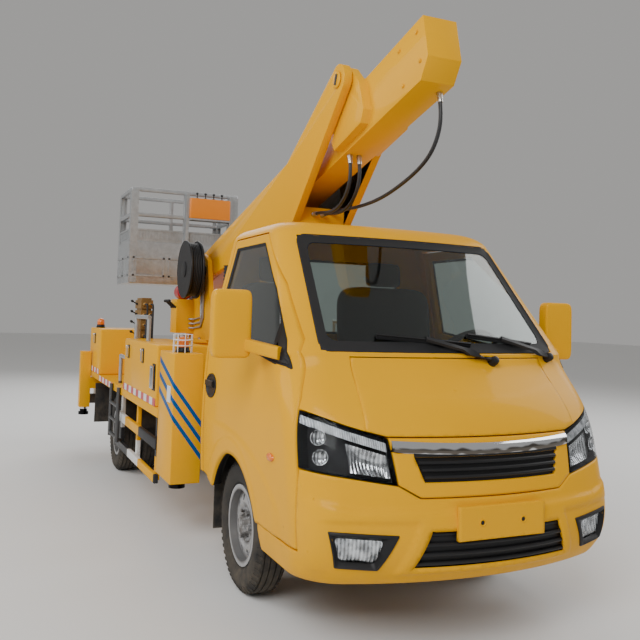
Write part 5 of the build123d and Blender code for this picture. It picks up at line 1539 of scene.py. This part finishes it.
# Tail lamps
# Moulded plastic lamps in three colours: orange inboard, red, and clear at the outer end,
# parted by black ribs and screwed to the rear bumper.
PARTINGS = (0.665, 0.82)
tree = red_lens.node_tree
x, y, z = split_place(tree)
reach = worked(tree, "ABSOLUTE", y)
overpaint(red_lens, (0.80, 0.22, 0.008, 1), worked(tree, "LESS_THAN", reach, PARTINGS[0]))
overpaint(red_lens, (0.75, 0.75, 0.74, 1), worked(tree, "GREATER_THAN", reach, PARTINGS[1]))
rounded("tail_lamps", 0.010, 3, red_lens)
made = bmesh.new()
for y in [side * parting for side in (-1, 1) for parting in PARTINGS]:
    box_between(
        made, (REAR_FACE + 0.002, y - 0.003, 0.533), (REAR_FACE + 0.02, y + 0.003, 0.617),
    )
finish_piece("tail_lamp_ribs", made, black_plastic, "chassis")

# Cab inside
# Cloth seats stuffed with foam on steel pans: a single one and a wider one, each with a
# cushion, a back and a small head pad on its top.
SEATS = ((-0.400, 0.245), (0.330, 0.325))
HEAD_PAD_HALF = 0.118
seat_cloth = finish_material(
    "seat_cloth", (0.060, 0.062, 0.068, 1), (0.035, 0.036, 0.040, 1),
    (0.75, 0.92), (1400.0, 9.0, 0.0006), (0.5, 0.0),
)
made = bmesh.new()
for y, half in SEATS:
    cushion(made, (-0.230 + AXLE, y, 1.0155), (0.268, half, 0.0645), 0.0)
    cushion(made, (-0.487 + AXLE, y, 1.3575), (0.058, half, 0.2800), -0.10)
    cushion(made, (-0.524 + AXLE, y, 1.7200), (0.034, HEAD_PAD_HALF, 0.0780), -0.10)
seats = finish_piece("seat_cushions", made, seat_cloth, "chassis", 60)
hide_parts("seats")

# Air duct behind the cab
# A black ribbed rubber intake duct, moulded in one length and clipped up the cab's rear
# right corner.
DUCT_FOOT = (-0.6825, -0.660, 0.800)
DUCT_RIBS, DUCT_PITCH = 88, 0.0108
DUCT_RADII = (0.034, 0.040)
made = bmesh.new()
profile = [(DUCT_PITCH * step, DUCT_RADII[step % 2]) for step in range(DUCT_RIBS)]
turned(made, profile, Vector(DUCT_FOOT) + Vector((AXLE, 0, 0)), Vector((0, 0, 1)), 20)
finish_piece("air_duct", made, black_rubber, "chassis", 60)

# Turret fittings
# A red motor and hand levers on the valve block, steel pipes clipped to the plate, a ring
# of bolts round the turntable, and a reel wound with black hose.
MOTOR_PLACE = (-3.270, -0.335, 1.6290)
TABLE_TOP = 1.2103
TABLE_MIDDLE, BOLT_RING, BOLTS_ROUND = -2.95, 0.405, 30
MOTOR = (
    (0, 0.045), (0.008, 0.062), (0.014, 0.070), (0.150, 0.070), (0.156, 0.062),
    (0.180, 0.060), (0.186, 0.052), (0.186, 0.034), (0.165, 0.032),
)
LEVER_SHAFT = ((0, 0.012), (0.010, 0.012), (0.011, 0.0055), (0.075, 0.0045))
LEVER_KNOB = ((0, 0.006), (0.006, 0.012), (0.014, 0.014), (0.022, 0.012), (0.027, 0.005))
LEVER_LEAN = Vector((0, -0.75, 0.66))
TABLE_BOLT = ((-0.002, 0.016), (0.003, 0.016), (0.003, 0.0125), (0.014, 0.0125), (0.016, 0.010))
PIPE_HEIGHTS, PIPE_CLIP, PIPE_TOP = (1.30, 1.34, 1.38), -0.272, 1.80
REEL = (-2.700, 1.815)
COIL_SIDE, COIL_STEP, COIL_STEPS = -0.4385, 0.0024, 36
COIL_INNER, COIL_OUTER, COIL_SWELL = 0.186, 0.224, 0.009
REEL_CAP = ((0, 0.070), (0.006, 0.070), (0.010, 0.060), (0.012, 0.030))
REEL_RIM = ((-0.006, 0.246), (-0.009, 0.251), (0, 0.2545), (0.009, 0.251), (0.006, 0.246))
ORIGIN = Vector((0, 0, 0))
hose_rubber = finish_material(
    "hose_rubber", (0.022, 0.022, 0.023, 1), (0.012, 0.012, 0.013, 1),
    (0.38, 0.6), (900.0, 30.0, 0.0004), (0.5, 0.0),
)
red_paint = finish_material(
    "red_motor_paint", (0.46, 0.012, 0.022, 1), (0.36, 0.008, 0.016, 1),
    (0.3, 0.45), (400.0, 6.0, 0.0002), (0.5, 0.1), coat=0.2,
)
made = bmesh.new()
turned(made, MOTOR, Vector(MOTOR_PLACE) + Vector((AXLE, 0, 0)), Vector((1, 0, 0)), 32)
finish_piece("pump_motor", made, red_paint, "turret")
made = bmesh.new()
lever = bmesh.new()
turned(lever, LEVER_SHAFT, ORIGIN, LEVER_LEAN, 10)
turned(lever, LEVER_KNOB, Vector((0, -0.054, 0.0475)), LEVER_LEAN, 12)
values = {
    "Count": 5, "Start": (-3.262 + AXLE, -0.4195, 1.485), "Step": (0.043, 0.0, 0.0),
    "Finish": black_plastic,
}
copied(made, ROW_COPIES, lever, values)
finish_piece("valve_levers", made, black_plastic, "turret")
made = bmesh.new()
bolt = bmesh.new()
turned(bolt, TABLE_BOLT, ORIGIN, Vector((0, 0, 1)), 6)
values = {"Count": BOLTS_ROUND, "Radius": BOLT_RING, "Finish": ferrule_steel}
table = Matrix.Translation((TABLE_MIDDLE + AXLE, 0, TABLE_TOP))
copied(made, RING_COPIES, bolt, values, table)
finish_piece("turntable_bolts", made, ferrule_steel, "turret", 30)
pipes = []
for z in PIPE_HEIGHTS:
    inset = z - PIPE_HEIGHTS[0]
    bends = (
        (-3.065, -0.300, z), (-3.020, -0.300, z), (-2.990, PIPE_CLIP, z),
        (-2.760, PIPE_CLIP, z + 0.02), (-2.690 - inset, PIPE_CLIP, z + 0.10),
        (-2.700 - inset, PIPE_CLIP, PIPE_TOP),
    )
    pipes.append([(x + AXLE, y, height) for x, y, height in bends])
tubes("turret_pipes", pipes, 0.009, galvanised, "turret")
made = bmesh.new()
coil = [(COIL_SIDE, COIL_INNER)]
for step in range(COIL_STEPS + 1):
    swell = COIL_SWELL * abs(sin(pi * step / 6))
    coil.append((COIL_SIDE + COIL_STEP * step, COIL_OUTER + swell))
coil.append((COIL_SIDE + COIL_STEP * COIL_STEPS, COIL_INNER))
wheel_ring(made, coil, REEL[0] + AXLE, 0.0, REEL[1], 72)
finish_piece("reel_hose", made, hose_rubber, "turret", 60)
made = bmesh.new()
for y, out in ((-0.4525, -1), (-0.3375, 1)):
    hub = Vector((REEL[0] + AXLE, y - out * 0.001, REEL[1]))
    turned(made, REEL_CAP, hub, Vector((0, out, 0)), 28)
for y in (-0.446, -0.344):
    rim = [(y + across, radius) for across, radius in REEL_RIM]
    wheel_ring(made, rim, REEL[0] + AXLE, 0.0, REEL[1], 72)
finish_piece("reel_rims", made, black_plastic, "turret")

# Rear shade flaps
# Thick black rubber sheets, flat and a little wavy, hang from square steel bars under the deck's
# rear end, where the deck casts shade;
# they are dark sheets that stand in for that shade, as painted shade.
FLAP_INNER, FLAP_OUTER = 0.56, 0.93
FLAP_PLACE, FLAP_TOP, FLAP_DROP = -4.352, 0.645, 0.365
FLAP_HALF, FLAP_WAVE, FLAP_SWEEP = 0.005, 0.006, 0.02
FLAP_COLUMNS = 8
shade_flaps = bmesh.new()
bars = bmesh.new()
for side in (-1, 1):
    low, high = sorted((side * FLAP_INNER, side * FLAP_OUTER))
    box_between(
        bars, (FLAP_PLACE - 0.020 + AXLE, low, 0.640), (FLAP_PLACE + 0.020 + AXLE, high, 0.680),
    )
    rows = []
    for lift in (-FLAP_HALF, FLAP_HALF):
        for column in range(FLAP_COLUMNS + 1):
            y = low + (high - low) * column / FLAP_COLUMNS
            y = y if lift < 0 else high + low - y
            wave_depth = FLAP_WAVE * sin(3 * pi * column / FLAP_COLUMNS)
            row = []
            for drop in (0.0, 0.25, 0.5, 0.75, 1.0):
                x = FLAP_PLACE + AXLE + lift - FLAP_SWEEP * drop * drop + wave_depth * drop
                row.append(Vector((x, y, FLAP_TOP - FLAP_DROP * drop)))
            rows.append(row)
    joined_rows(shade_flaps, rows, False)
finish_piece("rear_flaps", shade_flaps, black_rubber, "chassis", 60)
finish_piece("rear_flap_bars", bars, black_steel, "chassis")

# Ground control stand
# A cast valve bank on a post beside the turntable: stacked blocks, brass unions, hand
# levers and bent pipes down to the deck.
STAND = (-2.760, -0.765)
DECK_TOP = 0.799
BANK_LOW, BLOCK_PITCH, BLOCKS = 1.198, 0.088, 4
UNION_SIDES = (-0.022, 0.026)
UNION = ((-0.004, 0.016), (0.014, 0.016), (0.015, 0.011), (0.034, 0.011))
STAND_LEVER = (
    (-0.004, 0.010), (0.012, 0.009), (0.014, 0.005), (0.042, 0.005), (0.046, 0.010),
    (0.058, 0.012), (0.068, 0.005),
)
stand_iron = finish_material(
    "stand_iron", (0.30, 0.155, 0.028, 1), (0.13, 0.075, 0.025, 1),
    (0.45, 0.7), (260.0, 14.0, 0.0006), (0.5, 0.1), metal=0.25,
)
brass = finish_material(
    "brass_unions", (0.62, 0.40, 0.14, 1), (0.42, 0.26, 0.09, 1),
    (0.25, 0.42), (500.0, 20.0, 0.0002), (0.5, 0.0), metal=1.0,
)
x, y = STAND[0] + AXLE, STAND[1]
post = bmesh.new()
iron = bmesh.new()
unions = bmesh.new()
handles = bmesh.new()
pipes = []
box_between(post, (x - 0.09, y - 0.06, DECK_TOP), (x + 0.09, y + 0.06, DECK_TOP + 0.012))
box_between(post, (x - 0.035, y - 0.030, 0.805), (x + 0.035, y + 0.030, 1.180))
box_between(iron, (x - 0.205, y - 0.055, 1.175), (x + 0.105, y + 0.055, 1.200))
for step in range(BLOCKS):
    low = BANK_LOW + BLOCK_PITCH * step
    middle = low + 0.037
    box_between(iron, (x - 0.190, y - 0.050, low), (x + 0.080, y + 0.050, low + 0.074))
    box_between(iron, (x - 0.160, y - 0.040, low + 0.070), (x + 0.060, y + 0.040, low + 0.092))
    lever_foot = Vector((x - 0.09, y - 0.050, middle))
    turned(handles, STAND_LEVER, lever_foot, Vector((0.1, -0.8, 0.45)), 12)
    bend = x + 0.135 + 0.018 * step
    for dy in UNION_SIDES:
        turned(unions, UNION, Vector((x + 0.080, y + dy, middle)), Vector((1, 0, 0)), 6)
        pipes.append([
            (x + 0.100, y + dy, middle), (bend, y + dy, middle),
            (bend + 0.020, y + dy, middle - 0.020), (bend + 0.020, y + dy, DECK_TOP),
        ])
finish_piece("stand_post", post, yellow_paint, "chassis")
finish_piece("stand_valves", iron, stand_iron, "chassis")
finish_piece("stand_unions", unions, brass, "chassis", 30)
finish_piece("stand_levers", handles, black_plastic, "chassis")
tubes("stand_pipes", pipes, 0.0075, black_steel, "chassis")

# Work bucket
# Welded galvanised tube over pressed sheet panels, with a row of stamped ribs along the
# panel tops and raised frames on the panels.
rounded("bucket", 0.005, 2, galvanised)
BUCKET_SIDES = ((-0.690, -1), (0.450, 1))
BUCKET_ENDS = ((-4.080, 1), (-4.780, -1))
RIB_HALF, RIB_RISE, RIB_HEIGHT, RIB_PITCH = 0.008, 0.040, 2.230, 0.0305
SIDE_RIBS, END_RIBS = 20, 35
FRAME_LOW, FRAME_HIGH, FRAME_WIDTH = 1.80, 2.00, 0.018
SIDE_FRAMES, SIDE_FRAME_LENGTH = (-4.735, -4.415), 0.29
END_FRAMES, END_FRAME_LENGTH = (-0.655, -0.285, 0.085), 0.33
SHEET_LOW, SHEET_TOP, SHEET_GAP = 2.09, 2.280, 0.003
LEDGE_HALF = 0.008
CORNER, CORNER_LOW, CORNER_TOP = 0.075, 1.735, 2.690


def panel_box(made, axis, face, lifts, span, heights):
    """A box on an upright panel: lifts go outward from face, which is (place, outward)."""
    place, out = face
    low, high = [place + out * lift for lift in lifts]
    if axis == "y":
        box_between(made, (span[0], low, heights[0]), (span[1], high, heights[1]))
    else:
        box_between(made, (low, span[0], heights[0]), (high, span[1], heights[1]))


def raised_frame(made, axis, face, start, end):
    """A raised frame of four bars on an upright panel."""
    for span, heights in (
        ((start, end), (FRAME_LOW, FRAME_LOW + FRAME_WIDTH)),
        ((start, end), (FRAME_HIGH - FRAME_WIDTH, FRAME_HIGH)),
        ((start, start + FRAME_WIDTH), (FRAME_LOW, FRAME_HIGH)),
        ((end - FRAME_WIDTH, end), (FRAME_LOW, FRAME_HIGH)),
    ):
        panel_box(made, axis, face, (-0.001, 0.007), span, heights)


made = bmesh.new()
ends = sorted(place + AXLE for place, out in BUCKET_ENDS)
sides = sorted(place for place, out in BUCKET_SIDES)
PANELS = (
    # axis, faces, span, ribs, first rib, frame starts, frame length
    ("y", BUCKET_SIDES, ends, SIDE_RIBS, -4.715 + AXLE,
     [start + AXLE for start in SIDE_FRAMES], SIDE_FRAME_LENGTH),
    ("x", [(place + AXLE, out) for place, out in BUCKET_ENDS], sides, END_RIBS, -0.640,
     END_FRAMES, END_FRAME_LENGTH),
)
for axis, faces, span, ribs, first_rib, frame_starts, frame_length in PANELS:
    for place, out in faces:
        rib = bmesh.new()
        half = (-RIB_HALF, RIB_HALF)
        panel_box(rib, axis, (0, out), (-0.001, 0.005), half, (-RIB_RISE, RIB_RISE))
        behind = place - out * 0.006
        values = {"Count": ribs, "Finish": galvanised}
        if axis == "y":
            values["Start"] = (first_rib, behind, RIB_HEIGHT)
            values["Step"] = (RIB_PITCH, 0.0, 0.0)
        else:
            values["Start"] = (behind, first_rib, RIB_HEIGHT)
            values["Step"] = (0.0, RIB_PITCH, 0.0)
        copied(made, ROW_COPIES, rib, values)
for axis, faces, span, ribs, first_rib, frame_starts, frame_length in PANELS:
    for face in faces:
        for start in frame_starts:
            raised_frame(made, axis, face, start, start + frame_length)
for axis, faces, span, ribs, first_rib, frame_starts, frame_length in PANELS:
    sheet_gap = SHEET_GAP if axis == "y" else SHEET_GAP + 0.001
    inner = (span[0] + sheet_gap, span[1] - sheet_gap)
    for face in faces:
        panel_box(made, axis, face, (-0.010, -0.006), inner, (SHEET_LOW, SHEET_TOP))
        ledge = (-0.010 - LEDGE_HALF, -0.006 + LEDGE_HALF)
        panel_box(made, axis, face, ledge, inner, (SHEET_TOP - 0.006, SHEET_TOP + 0.012))
        for start in (span[0], span[1] - CORNER):
            corner = (start, start + CORNER)
            panel_box(made, axis, face, (-0.001, 0.003), corner, (CORNER_LOW, CORNER_TOP))
finish_piece("bucket_pressings", made, galvanised, "bucket")

# Bucket controls
# An orange sheet-steel control box hangs between two galvanised plates at the bucket's
# front, with four short black levers on its top.
CONTROL_SHAFT = ((-0.002, 0.016), (0.010, 0.015), (0.012, 0.006), (0.045, 0.005))
CONTROL_KNOB = ((0.044, 0.005), (0.048, 0.012), (0.058, 0.014), (0.066, 0.010), (0.069, 0.004))
orange_paint = finish_material(
    "orange_box_paint", (0.80, 0.235, 0.0, 1), (0.72, 0.20, 0.0, 1),
    (0.35, 0.5), (400.0, 5.0, 0.0002), (0.5, 0.0), coat=0.1,
)
rounded("control_box", 0.010, 3, orange_paint)
control_body = body_of["control_box"]
made = bmesh.new()
for y in (-0.1215, 0.3465):
    box_between(made, (-4.080 + AXLE, y - 0.016, 2.160), (-3.985 + AXLE, y + 0.016, 2.690))
box_between(made, (-4.080 + AXLE, -0.106, 2.4080), (-3.950 + AXLE, 0.331, 2.4250))
finish_piece("control_frame", made, galvanised, control_body)
made = bmesh.new()
lever = bmesh.new()
turned(lever, CONTROL_SHAFT, ORIGIN, Vector((0, 0, 1)), 12)
turned(lever, CONTROL_KNOB, ORIGIN, Vector((0, 0, 1)), 12)
values = {
    "Count": 4, "Start": (-4.015 + AXLE, -0.02, 2.640), "Step": (0.0, 0.09, 0.0),
    "Finish": black_plastic,
}
copied(made, ROW_COPIES, lever, values)
finish_piece("control_levers", made, black_plastic, control_body)

# Boom fastenings
# Hexagon bolts, painted over, hold the butt plate and the wear pads at the boom's mouth;
# the steel tip pin is locked by a flat keeper at each end.
BOOM_TILT = radians(14.0)
TIP = (-0.140, 2.830)
BOOM_AXIS_DROP = 0.205
BOOM_HALF = 0.1
BOOM_BOLTS = (
    # along the boom from the tip pin, above its middle line
    (-0.70, 0.105), (-0.70, -0.060), (-0.52, 0.105), (-0.52, -0.105),
    (3.34, 0.105), (3.34, -0.105), (3.20, 0.105), (3.20, -0.105),
)
BOOM_BOLT = ((-0.002, 0.013), (0.002, 0.013), (0.002, 0.0095), (0.009, 0.0095), (0.010, 0.007))
made = bmesh.new()
for along, above in BOOM_BOLTS:
    rise = above - BOOM_AXIS_DROP
    x = TIP[0] - rise * sin(BOOM_TILT) - along * cos(BOOM_TILT) + AXLE
    z = TIP[1] + rise * cos(BOOM_TILT) - along * sin(BOOM_TILT)
    for side in (-1, 1):
        turned(made, BOOM_BOLT, Vector((x, side * BOOM_HALF, z)), Vector((0, side, 0)), 6)
finish_piece("boom_bolts", made, yellow_paint, body_of["upper_boom"], 30)
rounded("tip_pin", 0.006, 2, yellow_paint)
made = bmesh.new()
for side in (-1, 1):
    middle = Vector((TIP[0] + AXLE, side * 0.2235, TIP[1]))
    run = Vector((0.30, 0, 0.95)) * 0.032
    across = Vector((0.95, 0, -0.30)) * 0.010
    rows = []
    for corner in (-run - across, -run + across, run + across, run - across):
        rows.append([middle + corner + Vector((0, side * lift, 0)) for lift in (-0.002, 0.005)])
    joined_rows(made, rows, False)
finish_piece("pin_keepers", made, cast_metal, body_of["tip_pin"], 30)

# Hydraulic hoses
# Three rubber pressure hoses leave the lower boom's tie plate, hang in loops and go up
# to the upper boom's underside, each crimped into a steel ferrule at both ends.
HOSE_DIAMETER = 0.022
FERRULE_LENGTH = 0.055
SHORT_ROUTE = (
    (1.0095, 2.1200),
    (1.1175, 2.1200),
    (1.2575, 2.1040),
    (1.3975, 2.1200),
    (1.5125, 2.1900),
    (1.5658, 2.3091),
    (1.5373, 2.4235),
)
LONG_ROUTE = (
    (1.0095, 2.1420),
    (1.1715, 2.1420),
    (1.4205, 2.1290),
    (1.7205, 2.1440),
    (2.0135, 2.2070),
    (2.2205, 2.2820),
    (2.3215, 2.3790),
    (2.3571, 2.5043),
    (2.3281, 2.6207),
)
HOSES = (
    # node, side offset, route, length
    ("hose_short_right", -0.062, SHORT_ROUTE, 0.75),
    ("hose_short_left", 0.0, SHORT_ROUTE, 0.75),
    ("hose_long", 0.062, LONG_ROUTE, 1.60),
)

for name, offset, route, length in HOSES:
    curve = bpy.data.curves.new(name + "_line", "CURVE")
    curve.dimensions = "3D"
    curve.bevel_depth = HOSE_DIAMETER / 2
    curve.bevel_resolution = 4
    curve.use_fill_caps = True
    spline = curve.splines.new("NURBS")
    spline.points.add(len(route) - 1)
    for point, (x, z) in zip(spline.points, route):
        point.co = (x, offset, z, 1)
    spline.order_u = 3
    spline.use_endpoint_u = True
    spline.resolution_u = 12
    curve.materials.append(hose_rubber)
    hose = bpy.data.objects.new(name + "_rubber", curve)
    bpy.context.scene.collection.objects.link(hose)
    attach(hose, "lower_boom")
    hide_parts(name)
    made = bmesh.new()
    grip = HOSE_DIAMETER / 2 + 0.0035
    nut = HOSE_DIAMETER / 2 + 0.006
    profile = (
        (0, nut), (0.014, nut), (0.015, grip), (0.024, grip), (0.026, grip - 0.002),
        (0.028, grip), (0.038, grip), (0.040, grip - 0.002), (0.042, grip),
        (FERRULE_LENGTH, grip - 0.001),
    )
    for tip, inner in ((route[0], route[1]), (route[-1], route[-2])):
        start = Vector((tip[0], offset, tip[1]))
        towards = Vector((inner[0], offset, inner[1])) - start
        turned(made, profile, start, towards, 18)
    ferrules = finish_piece(name + "_ferrules", made, ferrule_steel, "lower_boom")
